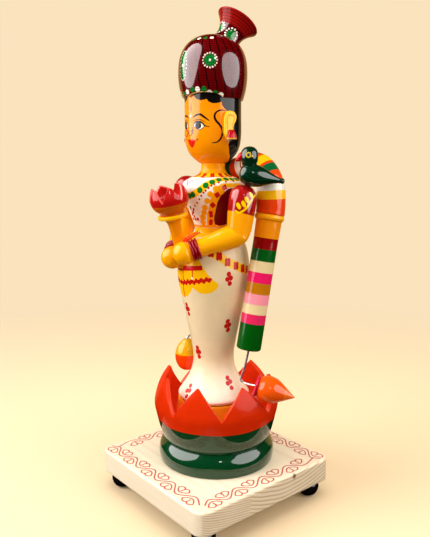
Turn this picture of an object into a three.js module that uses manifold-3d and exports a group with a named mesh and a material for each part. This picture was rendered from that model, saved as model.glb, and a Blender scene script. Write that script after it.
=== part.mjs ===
// A Meenakshi figure: a turned and lacquered wooden doll in a lotus seat, on a pine plinth.
// Millimetres, +Z up. The figure faces -Y, its left hand is at +X, and the ground is at z = 0.
import * as THREE from "three";
import { mergeVertices } from "three/addons/utils/BufferGeometryUtils.js";
import Module from "manifold-3d";

const wasm = await Module();
wasm.setup();

// Driving dimensions
const GAP = 0.3; // clearance left where two pieces touch
const PLINTH = { side: 127, thick: 16, corner: 9, edge: 1.6 };
const FOOT = { radius: 8, height: 15, inset: 12 };
const BASE = { centre: [1.2, 1.5], radius: 44, height: 16.5, neck: 39.6 };
const SEAT = { radius: 47, wall: 3.6, rim: 96.6 };
const PLUG = { radius: 27.5, floor: 60, top: 78 };
const BODY = { hip: 26.4, knee: 15.2, chest: 22.6, neck: 8.7, top: 252.3 };
const HEAD = { radius: 20.1, bottom: 252.6, top: 303 };
const CROWN = { radius: 24.4, brim: 21.4, bottom: 296, top: 340.4, arch: 3.4, archAt: 33 };
const KNOT = { rim: 15.9, neck: 8.9, length: 36.2, axis: [0.15, 0.52, 0.84], root: 321 };
const EAR = { width: 10.5, height: 19.5, thick: 3.4, centre: [-3.2, 277.5] };
const BELL = { radius: 3.9, height: 7, centre: [23.6, -3.3], bottom: 268 };
const ARM = { sleeve: 9.6, elbow: 8.4, corner: 7.2, wrist: 5, bangle: 7.9, hand: 8.2 };
const LEFT_ARM = { shoulder: [31.6, 0.3, 228.2], elbow: [31, -3, 203.5], hand: [9.2, -33.8, 190.7] };
const RIGHT_ARM = { shoulder: [-31.6, 0.3, 234.2], elbow: [-31, -3, 207], hand: [-8.6, -30.7, 186] };
const FLOWER = { foot: [0.8, -30.5, 190], lean: 13.5, radius: 13.5, wall: 2.4, rim: 47.8 };
const PARROT = { seat: [39.8, 2.9, 243.7], facing: [-0.64, -0.77, 0], radius: 7.7, head: 5.5 };
const ROD = { radius: 8.9, ring: 10.3, ringHeight: 4.4 };
const LEFT_ROD = { top: [36.4, 22, 216.6], bottom: [31.6, 6.6, 120] };
const RIGHT_ROD = { top: [-34.6, 24.6, 216.6], bottom: [-30.5, 15.5, 122] };
const ARCH = { sleeve: 10.3, nape: 8.6, steps: 18 };
const WIRE = { radius: 0.8 };
const BUD = { radius: 9.6, length: 26.8, disc: 8.2, start: [40.6, 5.7, 95.2], axis: [0.78, 0.575, -0.235] };
const BEAD = { radius: 9.6, length: 25.4, top: [-32.4, -0.6, 115] };

// V cuts: the direction in degrees round from +X, the height of the bottom of the V, and its
// width at the rim on the side before that direction and on the side after it
const SEAT_CUTS = [
  [180, 74, 18.5, 18.5],
  [232, 74, 15.5, 15.5],
  [279, 74, 14.8, 14.8],
  [325, 74.5, 15.5, 15.5],
  [14, 74, 17.8, 17.8],
  [69, 74, 18.3, 18.3],
  [124, 74, 18.6, 18.6],
];
const FLOWER_CUTS = [
  [303, 38, 4.6, 4.6],
  [3, 38, 4.6, 4.6],
  [63, 40, 4.6, 4.2],
  [124, 42.5, 2.6, 7.4],
  [197, 41, 4.2, 4],
  [246, 39.5, 4, 4.6],
];

// The middle of the bar behind the neck, from the left rod to the right rod
const ARCH_PATH = [
  [36.8, 22.4, 228],
  [36.2, 22.2, 237],
  [32.4, 21.6, 244.8],
  [27, 20.6, 250],
  [20, 19.6, 251.2],
  [9, 18.8, 248.6],
  [-9, 19.4, 247],
  [-19.5, 21, 248],
  [-26, 22.5, 247],
  [-31, 24, 242.5],
  [-34.4, 25, 235],
  [-35, 25, 227],
];
const WIRE_LEFT = [
  [31.6, 6.6, 119.4],
  [29.5, 5, 106],
  [27.4, 3.2, 96],
  [30.5, 4.2, 94.6],
  [40, 5.6, 94.6],
];
const WIRE_RIGHT = [
  [-30.5, 15.5, 121.2],
  [-31, 10, 118.2],
  [-32, 2.4, 117.8],
  [-32.4, -0.6, 115.8],
];

const PLINTH_TOP = FOOT.height + PLINTH.thick;
const UP = new THREE.Vector3(0, 0, 1);
const vector = (xyz) => new THREE.Vector3(...xyz);
const between = (from, to) => vector(to).sub(vector(from)).toArray();
const radians = THREE.MathUtils.degToRad;

const FINISH = {
  pine: [0xe9cf9c, 0.6],
  black: [0x14110f, 0.25],
  green: [0x0c3b26, 0.15],
  orange: [0xd9411c, 0.25],
  amber: [0xe39a12, 0.2],
  cream: [0xf1e6cf, 0.25],
  skin: [0xeb9a14, 0.2],
  maroon: [0x6e0f1e, 0.15],
  red: [0xc41f22, 0.2],
  pink: [0xd8265f, 0.25],
  steel: [0xb4b6b8, 0.3, 1],
};

// A turned piece on the Z axis. Its outline is a list of [radius, height] points, and the
// straight ends that close it on the axis are added here.
function turned(points, sides) {
  const [first, last] = [points[0], points.at(-1)];
  const closed = [...points];
  if (first[0] > 0) closed.unshift([0, first[1]]);
  if (last[0] > 0) closed.push([0, last[1]]);
  const outline = closed.map(([radius, height]) => new THREE.Vector2(radius, height));
  return new THREE.LatheGeometry(outline, sides).rotateX(Math.PI / 2);
}

// The points of an outline moved out by `grow`
const grown = (points, grow) => points.map(([r, z]) => [r ? r + grow : 0, z]);

// A piece made along +Z from the origin, laid along `axis` with its origin at `start`
function aimed(geometry, start, axis) {
  const turn = new THREE.Quaternion().setFromUnitVectors(UP, vector(axis).normalize());
  return geometry.applyQuaternion(turn).translate(...start);
}

// Booleans on closed geometries
function solid(geometry) {
  const bare = geometry.clone();
  bare.deleteAttribute("normal");
  bare.deleteAttribute("uv");
  const merged = mergeVertices(bare, 1e-3);
  const triVerts = new Uint32Array(merged.index.array);
  const vertProperties = merged.attributes.position.array;
  return new wasm.Manifold(new wasm.Mesh({ numProp: 3, vertProperties, triVerts }));
}

function surface(manifold) {
  const { vertProperties, triVerts } = manifold.getMesh();
  const geometry = new THREE.BufferGeometry();
  geometry.setAttribute("position", new THREE.BufferAttribute(vertProperties, 3));
  geometry.setIndex(new THREE.BufferAttribute(triVerts, 1));
  geometry.computeVertexNormals();
  return geometry;
}

const cut = (geometry, ...tools) =>
  surface(tools.reduce((rest, tool) => rest.subtract(solid(tool)), solid(geometry)));

// A block that covers everything on the side of the plane through `at` that `normal` points to
function halfSpace(at, normal) {
  const size = 60;
  const block = new THREE.BoxGeometry(size, size, size).translate(0, 0, size / 2 - GAP / 2);
  return aimed(block, at, normal);
}

// One V cut round the Z axis, up through the rim at height `high`
function notch([angle, low, before, after], high, reach) {
  const over = 6;
  const spread = 1 + over / (high - low);
  const shape = new THREE.Shape([
    new THREE.Vector2(0, low),
    new THREE.Vector2(after * spread, high + over),
    new THREE.Vector2(-before * spread, high + over),
  ]);
  const wedge = new THREE.ExtrudeGeometry(shape, { depth: reach, bevelEnabled: false });
  return wedge.rotateX(Math.PI / 2).rotateZ(radians(angle + 90));
}

// A rounded square board with eased edges
function plinthBoard() {
  const { side, thick, corner, edge } = PLINTH;
  const inner = side / 2 - corner;
  const shape = new THREE.Shape();
  for (const [x, y, quarter] of [[1, 1, 0], [-1, 1, 1], [-1, -1, 2], [1, -1, 3]]) {
    const start = (quarter * Math.PI) / 2;
    shape.absarc(x * inner, y * inner, corner, start, start + Math.PI / 2, false);
  }
  const board = new THREE.ExtrudeGeometry(shape, {
    depth: thick - 2 * edge,
    bevelThickness: edge,
    bevelSize: edge,
    bevelOffset: -edge,
    bevelSegments: 1,
    curveSegments: 4,
  });
  return board.translate(0, 0, FOOT.height + edge);
}

// A ball foot with a small flat above and below
function ballFoot() {
  const { radius, height } = FOOT;
  const flat = 3;
  const side = [
    [flat, 0],
    [radius * 0.76, 2.1],
    [radius, height / 2 - 1.6],
    [radius, height / 2 + 1.6],
    [radius * 0.76, height - 2.1],
    [flat, height - GAP],
  ];
  return turned(side, 12);
}

// The green ring under the seat, rounded outside and narrower at its top
function baseRing() {
  const { radius, height, neck } = BASE;
  const z = PLINTH_TOP + GAP;
  const side = [
    [radius - 0.8, z],
    [radius, z + 5],
    [radius - 0.3, z + 9],
    [radius - 1.6, z + 12.5],
    [neck, z + height - GAP],
  ];
  return turned(side, 36);
}

// The lotus seat: a bowl with its rim cut into petals
function lotusSeat() {
  const { wall, rim, radius } = SEAT;
  const floor = PLUG.floor - GAP;
  const side = [
    [BASE.neck + 0.2, PLINTH_TOP + BASE.height + GAP],
    [radius - 4.9, 53],
    [radius - 1.5, 66],
    [radius, 74],
    [radius - 0.8, 81],
    [radius - 3.2, 89.5],
    [radius - 6.6, rim],
    [radius - 6.6 - wall + 1, rim],
    [radius - 3.2 - wall, 89.5],
    [radius - 0.8 - wall, 81],
    [radius - wall, 73],
    [radius - 2.4 - wall, 66],
    [radius - 7 - wall, floor],
  ];
  return cut(turned(side, 36), ...SEAT_CUTS.map((each) => notch(each, rim, radius + 10)));
}

// The block under the skirt, glued to the floor of the bowl
const seatPlug = () => {
  const { radius, floor, top } = PLUG;
  const side = [
    [radius + 1.5, floor],
    [radius, top - 6],
    [radius - 0.6, top - GAP],
  ];
  return turned(side, 24);
};

// Skirt, waist, blouse and neck, turned in one
function figureBody(grow = 0) {
  const { hip, knee, chest, neck, top } = BODY;
  const side = [
    [24.4, PLUG.top + GAP],
    [26.9, 80.8],
    [24.6, 85.2],
    [19.6, 93],
    [16.3, 101],
    [knee, 109],
    [16.6, 120.5],
    [19.8, 136.5],
    [23.4, 155],
    [hip, 171],
    [25.8, 185.5],
    [22.5, 196.4],
    [17.4, 201.4],
    [13.3, 203],
    [13.3, 206.6],
    [17.3, 217.5],
    [20.6, 226],
    [chest, 233.5],
    [21.4, 239],
    [16.8, 242.2],
    [11.5, 244.4],
    [neck, 248],
    [neck, top],
  ];
  return turned(grown(side, grow), 24);
}

// The head: a cylinder that rounds in to the chin
function headShape(grow = 0) {
  const { radius, bottom, top } = HEAD;
  const side = [
    [9.2, bottom],
    [13.2, 255.3],
    [16.8, 259.2],
    [19, 264],
    [radius, 271],
    [radius, top],
  ];
  return turned(grown(side, grow), 28);
}

// The crown sits over the head like a cap, with two arches cut in its brim over the forehead
function crownDome(grow = 0) {
  const { radius, brim, bottom, top } = CROWN;
  const bore = HEAD.radius + GAP;
  const side = [
    [bore, HEAD.top + GAP],
    [bore, bottom],
    [brim + grow, bottom],
    [23.5 + grow, 304],
    [radius + grow, 314],
    [23.3 + grow, 324.6],
    [20 + grow, 331.8],
    [15.4 + grow, 336.4],
    [8.8 + grow, 339.5 + grow],
    [0, top + grow],
  ];
  return turned(side, 28);
}

function crown() {
  const { brim, bottom, arch, archAt } = CROWN;
  const shape = new THREE.Shape();
  shape.absellipse(0, 0, brim * Math.sin(radians(archAt)), arch, 0, 2 * Math.PI, false, 0);
  const tools = [-1, 1].map((side) => {
    const tool = new THREE.ExtrudeGeometry(shape, {
      depth: brim + 10,
      bevelEnabled: false,
      curveSegments: 7,
    });
    return tool.rotateX(Math.PI / 2).translate(0, 0, bottom).rotateZ(side * radians(archAt));
  });
  return cut(crownDome(), ...tools);
}

// The flared top knot, cut to sit on the crown
function crownKnot() {
  const { rim, neck, length, axis, root } = KNOT;
  const side = [
    [neck + 1.2, 16],
    [neck, 22],
    [neck + 0.7, 26.5],
    [neck + 3, 31],
    [rim - 1, 34.6],
    [rim, 35.6],
    [rim - 1, length],
  ];
  return cut(aimed(turned(side, 18), [0, 0, root], axis), crownDome(GAP));
}

// A bell earring that hangs against the lobe of the ear: `side` is 1 for the left ear and -1
// for the right
function bell(side, grow = 0) {
  const { radius, height, centre, bottom } = BELL;
  const flare = [
    [radius, -grow],
    [radius, 1],
    [radius - 0.6, 3.6],
    [radius - 1.6, 5.8],
    [1, height + grow],
  ];
  return turned(grown(flare, grow), 14).translate(side * centre[0], centre[1], bottom);
}

// A flat ear, hollowed where the bell hangs
function ear(side) {
  const { width, height, thick, centre } = EAR;
  const [y, z] = centre;
  const w = side * width;
  const shape = new THREE.Shape();
  shape.moveTo(-0.2 * w, -0.5 * height);
  shape.bezierCurveTo(0.3 * w, -0.5 * height, 0.15 * w, -0.05 * height, 0.32 * w, 0.05 * height);
  shape.bezierCurveTo(0.7 * w, 0.3 * height, 0.5 * w, 0.5 * height, 0, 0.5 * height);
  shape.bezierCurveTo(-0.5 * w, 0.5 * height, -0.5 * w, 0.3 * height, -0.5 * w, 0);
  shape.bezierCurveTo(-0.5 * w, -0.3 * height, -0.5 * w, -0.5 * height, -0.2 * w, -0.5 * height);
  const plate = new THREE.ExtrudeGeometry(shape, {
    depth: thick + 2,
    bevelSize: 0.8,
    bevelThickness: 0.8,
    bevelOffset: -0.8,
    bevelSegments: 1,
    curveSegments: 4,
  });
  plate.rotateX(Math.PI / 2).rotateZ((side * Math.PI) / 2);
  return plate.translate(side * (HEAD.radius - 2.8), y, z);
}

// The direction along the mitre plane's normal, from the upper arm to the forearm
function elbowNormal({ shoulder, elbow, hand }) {
  const down = vector(between(shoulder, elbow)).normalize();
  const out = vector(between(elbow, hand)).normalize();
  return down.add(out).normalize();
}

// A block that takes the point off the outer corner of an elbow
function elbowCorner({ shoulder, elbow, hand }) {
  const down = vector(between(shoulder, elbow)).normalize();
  const out = vector(between(elbow, hand)).normalize();
  const away = down.sub(out).normalize();
  const at = away.clone().multiplyScalar(ARM.corner).add(vector(elbow));
  return halfSpace(at.toArray(), away.toArray());
}

// Sleeve and upper arm: a rod with a round shoulder, mitred at the elbow
function upperArm(arm, ...tools) {
  const { sleeve, elbow } = ARM;
  const length = vector(between(arm.elbow, arm.shoulder)).length();
  const side = [
    [elbow, -elbow * 1.4],
    [elbow, 0],
    [sleeve, length],
    [sleeve * 0.87, length + sleeve * 0.5],
    [sleeve * 0.5, length + sleeve * 0.87],
    [0, length + sleeve],
  ];
  const placed = aimed(turned(side, 16), arm.elbow, between(arm.elbow, arm.shoulder));
  const mitre = halfSpace(arm.elbow, elbowNormal(arm).toArray());
  return cut(placed, mitre, elbowCorner(arm), ...tools);
}

// Forearm, three bangles and a ball hand, turned in one and mitred at the elbow
function forearm(arm, ...tools) {
  const { elbow, wrist, bangle, hand } = ARM;
  const length = vector(between(arm.elbow, arm.hand)).length();
  const start = length - hand - 3;
  const pitch = 2.1;
  const side = [
    [elbow, -elbow * 1.4],
    [elbow, 2],
    [elbow * 0.97, 9],
    [wrist + 1.6, start - 7],
  ];
  for (let i = 0; i < 3; i++) {
    const z = start + i * pitch;
    side.push([wrist, z], [bangle, z + pitch * 0.35], [bangle, z + pitch * 0.65]);
  }
  side.push(
    [wrist, start + 3 * pitch],
    [hand * 0.94, length - hand * 0.3],
    [hand * 0.98, length + hand * 0.2],
    [hand * 0.7, length + hand * 0.72],
    [0, length + hand],
  );
  const placed = aimed(turned(side, 12), arm.elbow, between(arm.elbow, arm.hand));
  const mitre = halfSpace(arm.elbow, elbowNormal(arm).negate().toArray());
  return cut(placed, mitre, elbowCorner(arm), ...tools);
}

// The lotus in the hands: a stem, a collar and a hollow cup cut into petals
const flowerAxis = () => [0, -Math.sin(radians(FLOWER.lean)), Math.cos(radians(FLOWER.lean))];

function heldLotus() {
  const { radius, wall, rim } = FLOWER;
  const side = [
    [3.4, 0],
    [4, 14],
    [5.6, 24],
    [10.4, 26.2],
    [10.6, 28],
    [7.4, 29.2],
    [11.8, 33.5],
    [radius - 0.2, 37.5],
    [radius, 41],
    [radius - 2.3, rim],
    [radius - 1.8 - wall, rim],
    [radius - wall, 41],
    [radius - wall - 1.2, 37.5],
    [6, 34.5],
    [0, 33.8],
  ];
  const flower = cut(turned(side, 18), ...FLOWER_CUTS.map((each) => notch(each, rim, radius + 6)));
  return aimed(flower, FLOWER.foot, flowerAxis());
}

// The room that the stem takes between the hands
function stemRoom() {
  const side = [
    [3.4 + GAP, -GAP],
    [4 + GAP, 14],
    [5.6 + GAP, 24],
  ];
  return aimed(turned(side, 16), FLOWER.foot, flowerAxis());
}

// The parrot on the left shoulder: a drop-shaped body, a ball head and a beak
function parrotBody(grow = 0) {
  const { seat, facing, radius } = PARROT;
  const side = [
    [0, -10.2 - grow],
    [4.6, -9],
    [7, -5.4],
    [radius, -0.6],
    [6.6, 5.4],
    [3.6, 12.4],
    [1.8, 18],
    [1.8, 20.6],
    [0, 21.4 + grow],
  ];
  const back = vector(facing).negate().sub(UP.clone().multiplyScalar(0.2));
  return aimed(turned(grown(side, grow), 16), seat, back.toArray());
}

const parrotHeadCentre = () => {
  const { seat, facing } = PARROT;
  return vector(seat).add(vector(facing).multiplyScalar(3)).add(new THREE.Vector3(0, 0, 14));
};

function parrotHead(grow = 0) {
  const { head } = PARROT;
  const side = [
    [4, -head + 0.7],
    [head, -1],
    [head * 0.92, 2.6],
    [head * 0.55, head * 0.86],
    [0, head + grow],
  ];
  return turned(grown(side, grow), 16).translate(...parrotHeadCentre().toArray());
}

function parrotBeak() {
  const { facing, head } = PARROT;
  const side = [
    [0, 0],
    [2.6, 0.6],
    [2.3, 2.4],
    [0, 4.4],
  ];
  const start = parrotHeadCentre().add(vector(facing).multiplyScalar(head - 1.2));
  return aimed(turned(side, 10), start.toArray(), facing);
}

// A garland rod with a ring at its top
function rod({ top, bottom }) {
  const { radius, ring, ringHeight } = ROD;
  const length = vector(between(bottom, top)).length();
  const side = [
    [radius - 0.8, 0],
    [radius, 0.8],
    [radius - 0.1, length * 0.8],
    [radius + 0.3, length - ringHeight],
    [ring - 0.5, length - ringHeight + 0.2],
    [ring + 0.3, length - ringHeight / 2],
    [ring - 0.5, length],
  ];
  return aimed(turned(side, 16), bottom, between(bottom, top));
}

// The bent bar behind the neck: a round bar along a path, thickest where it meets the rods
function arch() {
  const { sleeve, nape, steps } = ARCH;
  const foot = ({ top, bottom }) => {
    const along = vector(between(bottom, top)).normalize();
    return [GAP, 3].map((step) => vector(top).add(along.clone().multiplyScalar(step)));
  };
  const path = new THREE.CatmullRomCurve3([
    ...foot(LEFT_ROD),
    ...ARCH_PATH.map(vector),
    ...foot(RIGHT_ROD).reverse(),
  ]);
  const section = new THREE.Shape();
  section.absarc(0, 0, 1, 0, 2 * Math.PI, false);
  const bar = new THREE.ExtrudeGeometry(section, { steps, extrudePath: path, curveSegments: 5 });
  const stations = path.getSpacedPoints(steps);
  const place = bar.getAttribute("position");
  const at = new THREE.Vector3();
  for (let i = 0; i < place.count; i++) {
    at.fromBufferAttribute(place, i);
    const gaps = stations.map((station) => station.distanceTo(at));
    const nearest = gaps.indexOf(Math.min(...gaps));
    const fromMiddle = Math.abs((2 * nearest) / steps - 1);
    const radius = nape + (sleeve - nape) * Math.min(1, 1.6 * fromMiddle ** 2);
    at.sub(stations[nearest]).multiplyScalar(radius).add(stations[nearest]);
    place.setXYZ(i, at.x, at.y, at.z);
  }
  return bar;
}

// A bent wire along a few points
function wire(points) {
  const section = new THREE.Shape();
  section.absarc(0, 0, WIRE.radius, 0, 2 * Math.PI, false);
  const path = new THREE.CatmullRomCurve3(points.map(vector), false, "centripetal");
  return new THREE.ExtrudeGeometry(section, { steps: 10, extrudePath: path, curveSegments: 3 });
}

// The bud at the end of the left wire: a round disc, and a drop that ends in a point
function budDisc() {
  const { disc, start, axis } = BUD;
  const side = [
    [disc - 1, 0],
    [disc, 1],
    [disc - 1, 2],
  ];
  return aimed(turned(side, 16), start, axis);
}

function bud() {
  const { radius, length, start, axis } = BUD;
  const side = [
    [6.6, 0],
    [9, 3.4],
    [radius, 7],
    [radius - 0.9, 12],
    [5.4, 18],
    [2, 23.5],
    [0, length],
  ];
  const foot = vector(axis).normalize().multiplyScalar(2 + GAP).add(vector(start));
  return aimed(turned(side, 16), foot.toArray(), axis);
}

// The egg-shaped bead at the end of the right wire
function bead() {
  const { radius, length, top } = BEAD;
  const side = [
    [0, -length],
    [5.4, -length + 1.8],
    [radius - 1, -length + 6.4],
    [radius, -length * 0.5],
    [radius - 1.8, -length * 0.22],
    [3, 0],
  ];
  return turned(side, 16).translate(...top);
}

// The scene
const figure = new THREE.Group();
figure.name = "meenakshi_figure";

function add(name, geometry, finish, parent = figure) {
  const [color, roughness, metalness = 0] = FINISH[finish];
  const mesh = new THREE.Mesh(geometry, new THREE.MeshStandardMaterial({ color, roughness, metalness }));
  mesh.name = name;
  parent.add(mesh);
  return mesh;
}

add("plinth_board", plinthBoard(), "pine");
for (const [depth, y] of [["front", -1], ["back", 1]])
  for (const [side, x] of [["left", 1], ["right", -1]]) {
    const reach = PLINTH.side / 2 - FOOT.inset;
    add(`foot_${depth}_${side}`, ballFoot(), "black").position.set(x * reach, y * reach, 0);
  }

const seat = new THREE.Group();
seat.position.set(...BASE.centre, 0);
figure.add(seat);
add("base_ring", baseRing(), "green", seat);
add("lotus_seat", lotusSeat(), "orange", seat);
add("seat_plug", seatPlug(), "amber");

const bodyRoom = figureBody(GAP);
const headRoom = headShape(GAP);
add("body", figureBody(), "cream");
add("head", headShape(), "skin");
add("crown", crown(), "maroon");
add("crown_knot", crownKnot(), "maroon");
for (const [side, sign] of [["left", 1], ["right", -1]]) {
  add(`ear_${side}`, cut(ear(sign), headRoom, bell(sign, GAP)), "amber");
  add(`earring_${side}`, bell(sign), "red");
}

add("upper_arm_left", upperArm(LEFT_ARM, bodyRoom), "skin");
add("upper_arm_right", upperArm(RIGHT_ARM, bodyRoom), "skin");
add("forearm_left", forearm(LEFT_ARM, bodyRoom, stemRoom()), "skin");
add("forearm_right", forearm(RIGHT_ARM, bodyRoom, stemRoom()), "skin");
add("held_lotus", heldLotus(), "red");

add("parrot_body", cut(parrotBody(), bodyRoom), "green");
add("parrot_head", cut(parrotHead(), parrotBody(GAP)), "green");
add("parrot_beak", cut(parrotBeak(), parrotHead(GAP)), "red");

add("garland_rod_left", rod(LEFT_ROD), "amber");
add("garland_rod_right", rod(RIGHT_ROD), "amber");
add("garland_arch", cut(arch(), bodyRoom, headRoom, parrotBody(GAP)), "green");
add("garland_wire_left", wire(WIRE_LEFT), "steel");
add("garland_wire_right", wire(WIRE_RIGHT), "steel");
add("bud_disc", budDisc(), "pink");
add("bud", bud(), "orange");
add("bead", bead(), "amber");

export default figure;
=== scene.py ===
"""A turned and lacquered wooden doll in a lotus seat on a pine plinth.

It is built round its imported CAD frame. The tables are in mm and degrees: a mark of paint is
(azimuth, height), and a knot of a profile is (radius, height).
"""

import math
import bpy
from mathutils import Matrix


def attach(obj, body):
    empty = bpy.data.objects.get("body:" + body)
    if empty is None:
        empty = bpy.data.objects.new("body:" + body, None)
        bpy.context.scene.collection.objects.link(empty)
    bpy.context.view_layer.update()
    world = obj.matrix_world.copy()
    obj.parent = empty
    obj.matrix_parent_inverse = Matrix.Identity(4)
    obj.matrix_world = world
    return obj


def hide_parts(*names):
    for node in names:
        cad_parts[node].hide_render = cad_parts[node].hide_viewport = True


bl_info = {
    "name": "Turned Doll Figure",
    "version": (1, 0, 0),
    "blender": (4, 5, 0),
    "location": "3D View > Sidebar > Doll",
    "description": "Builds a turned and lacquered wooden doll with a parrot and a garland",
    "category": "Add Mesh",
}

import bpy
import numpy as np
from bpy.props import FloatProperty, FloatVectorProperty, PointerProperty
from mathutils import Vector

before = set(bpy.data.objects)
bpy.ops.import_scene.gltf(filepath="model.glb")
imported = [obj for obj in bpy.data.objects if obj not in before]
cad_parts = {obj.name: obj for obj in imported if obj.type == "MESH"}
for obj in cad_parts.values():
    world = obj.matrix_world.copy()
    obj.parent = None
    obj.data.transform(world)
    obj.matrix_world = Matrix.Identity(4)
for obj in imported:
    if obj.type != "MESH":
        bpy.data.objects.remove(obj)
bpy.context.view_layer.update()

MM = 0.001
TINY = 1e-9  # keeps a division by nothing away
ON_AXIS = 1e-6  # a radius in mm below which a point is on the axis
FRONT = 270.0  # azimuth of the figure's front, from +X
DRESS = 265.0  # azimuth that the painted dress is laid out about
FAR = 9.0  # a painted field's value well away from the paint
NEAR = 4.0  # how far from a mark its distances are worked out


def linear(red, green, blue):
    """Turns a colour of 0 to 255 a channel into the linear one that shaders use."""
    return tuple(
        c / 12.92 if c <= 0.04045 else ((c + 0.055) / 1.055) ** 2.4
        for c in (red / 255, green / 255, blue / 255)
    )


# ---------------------------------------------------------------- lines and profiles

CURVE_POINTS = 60  # points of a profile between two knots
LEAST_POINTS = 40  # the fewest points of a profile
MEAN_REACH = 4  # half the length of a Gaussian mean, in its widths
HIDDEN_SHARE = 0.2  # share of the rows that a hidden length gets


def through(points, count):
    """A centripetal Catmull-Rom curve.

    Between two points it blends the parabolas through each of them and its neighbours.
    """
    p = np.asarray(points, float)
    if len(p) == 2:
        return p[0] + (p[1] - p[0]) * np.linspace(0, 1, count)[:, None]
    p = np.vstack([2 * p[0] - p[1], p, 2 * p[-1] - p[-2]])
    knot = np.r_[0, np.cumsum(np.sqrt(np.linalg.norm(np.diff(p, axis=0), axis=1)))]
    t = np.linspace(knot[1], knot[-2], count)
    i = np.clip(np.searchsorted(knot, t, side="right") - 1, 1, len(p) - 3)
    k = [knot[i + j][:, None] for j in (-1, 0, 1, 2)]
    q = [p[i + j] for j in (-1, 0, 1, 2)]
    t = t[:, None]

    def blend(a, b, ta, tb):
        return (a * (tb - t) + b * (t - ta)) / (tb - ta)

    one, two, three = (blend(q[j], q[j + 1], k[j], k[j + 1]) for j in (0, 1, 2))
    before, after = blend(one, two, k[0], k[2]), blend(two, three, k[1], k[3])
    return blend(before, after, k[1], k[2])


def run_of(points):
    """The distance along a line of points, from its first one."""
    return np.r_[0, np.cumsum(np.linalg.norm(np.diff(points, axis=0), axis=1))]


def resampled(points, at):
    """The points of a line at the given distances along it."""
    run = run_of(points)
    return np.stack([np.interp(at, run, column) for column in points.T], -1)


def fine_line(knots, sharp=(), ease=0.3, pitch=0.08):
    """A smooth profile: curves through the knots, broken at the sharp ones.

    A Gaussian mean along the line, ease mm wide, then rounds the corners. At an end on the axis
    the line is carried on in mirror image, so that the pole is round.
    """
    knots = np.asarray(knots, float)
    stops = sorted({0, len(knots) - 1, *(s % len(knots) for s in sharp)})
    runs = [
        through(knots[a : b + 1], CURVE_POINTS * (b - a) + 1) for a, b in zip(stops, stops[1:])
    ]
    line = np.vstack([runs[0], *(r[1:] for r in runs[1:])])
    length = run_of(line)[-1]
    line = resampled(line, np.linspace(0, length, max(int(length / pitch), LEAST_POINTS)))
    reach = int(MEAN_REACH * ease / pitch)
    weights = np.exp(-0.5 * (np.arange(-reach, reach + 1) * pitch / ease) ** 2)
    weights /= weights.sum()

    def beyond(end, inner):
        return inner * [-1, 1] if end[0] < ON_AXIS else 2 * end - inner

    before = beyond(line[0], line[reach:0:-1])
    after = beyond(line[-1], line[-2 : -2 - reach : -1])
    padded = np.vstack([before, line, after])
    smooth = np.stack([np.convolve(c, weights, "valid") for c in padded.T], -1)
    for end in (0, -1):
        if line[end, 0] < ON_AXIS:
            smooth[end, 0] = 0
    return smooth


def rows_of(line, step, bend=8.0, hidden=(0.0, 0.0)):
    """Picks rows from a fine line: one every step mm and one every bend degrees of turning.

    Over the hidden lengths at its ends there are fewer.
    """
    gaps = np.diff(line, axis=0)
    length = np.linalg.norm(gaps, axis=1)
    heading = np.unwrap(np.arctan2(gaps[:, 1], gaps[:, 0]))
    turn = np.abs(np.diff(heading, prepend=heading[0]))
    middle = np.cumsum(length) - length / 2
    inside = (middle > hidden[0]) & (middle < length.sum() - hidden[1])
    share = np.where(inside, 1, HIDDEN_SHARE)
    pace = np.r_[0, np.cumsum(length / step * share + turn / math.radians(bend))]
    run = np.r_[0, np.cumsum(length)]
    count = max(int(math.ceil(pace[-1])), 4) + 1
    return resampled(line, np.interp(np.linspace(0, pace[-1], count), pace, run))


def radius_at(line, height):
    """The radius of a profile at some heights, whichever way it runs."""
    if line[0, 1] > line[-1, 1]:
        line = line[::-1]
    return np.interp(height, np.maximum.accumulate(line[:, 1]), line[:, 0])


def stretched(rows, line, start, end, new_end):
    """Rows of a profile moved along it, so that they end at another height at each column.

    Between the start height and the old end, height = start + share (new end - start), where
    share goes from 0 to 1, and the radius is the profile's there. The other rows stay.
    """
    z = rows[:, 1:]
    share = np.clip((z - start) / (end - start), 0, 1)
    height = np.where(share > 0, start + share * (new_end - start), z)
    radius = np.where(share > 0, radius_at(line, height), rows[:, :1])
    return radius, height


def unit(vector):
    """A vector of length one."""
    return np.asarray(vector, float) / np.linalg.norm(vector)


def leaning(axis):
    """The shortest turn that takes +Z onto an axis, as a matrix.

    M = I + K + K K / (1 + c), where K is the cross-product matrix of z x axis, and c is the
    axis's own z.
    """
    a = unit(axis)
    k = np.array([[0, 0, a[0]], [0, 0, a[1]], [-a[0], -a[1], 0]])
    return np.eye(3) + k + k @ k / (1 + a[2])


# ---------------------------------------------------------------- surfaces

STROKE_STEP = 0.7  # mm between the points of a brush stroke
STROKE_SCALE = np.array([0.3, 1.0])  # how a stroke's degrees and mm count along it
SWELL = 0.6  # how full a stroke's middle is
END_EDGE = 0.5  # mm at the edge of a flat end that keep all their rows


def off_by(angles, azimuth):
    """Angles as degrees to either side of an azimuth."""
    return (angles - azimuth + 180) % 360 - 180


def boxed(points, marks, margin=NEAR):
    """Which points lie in the box round some marks, widened by a margin."""
    low, high = marks.min(0) - margin, marks.max(0) + margin
    return np.all((points > low) & (points < high), axis=-1)


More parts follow.
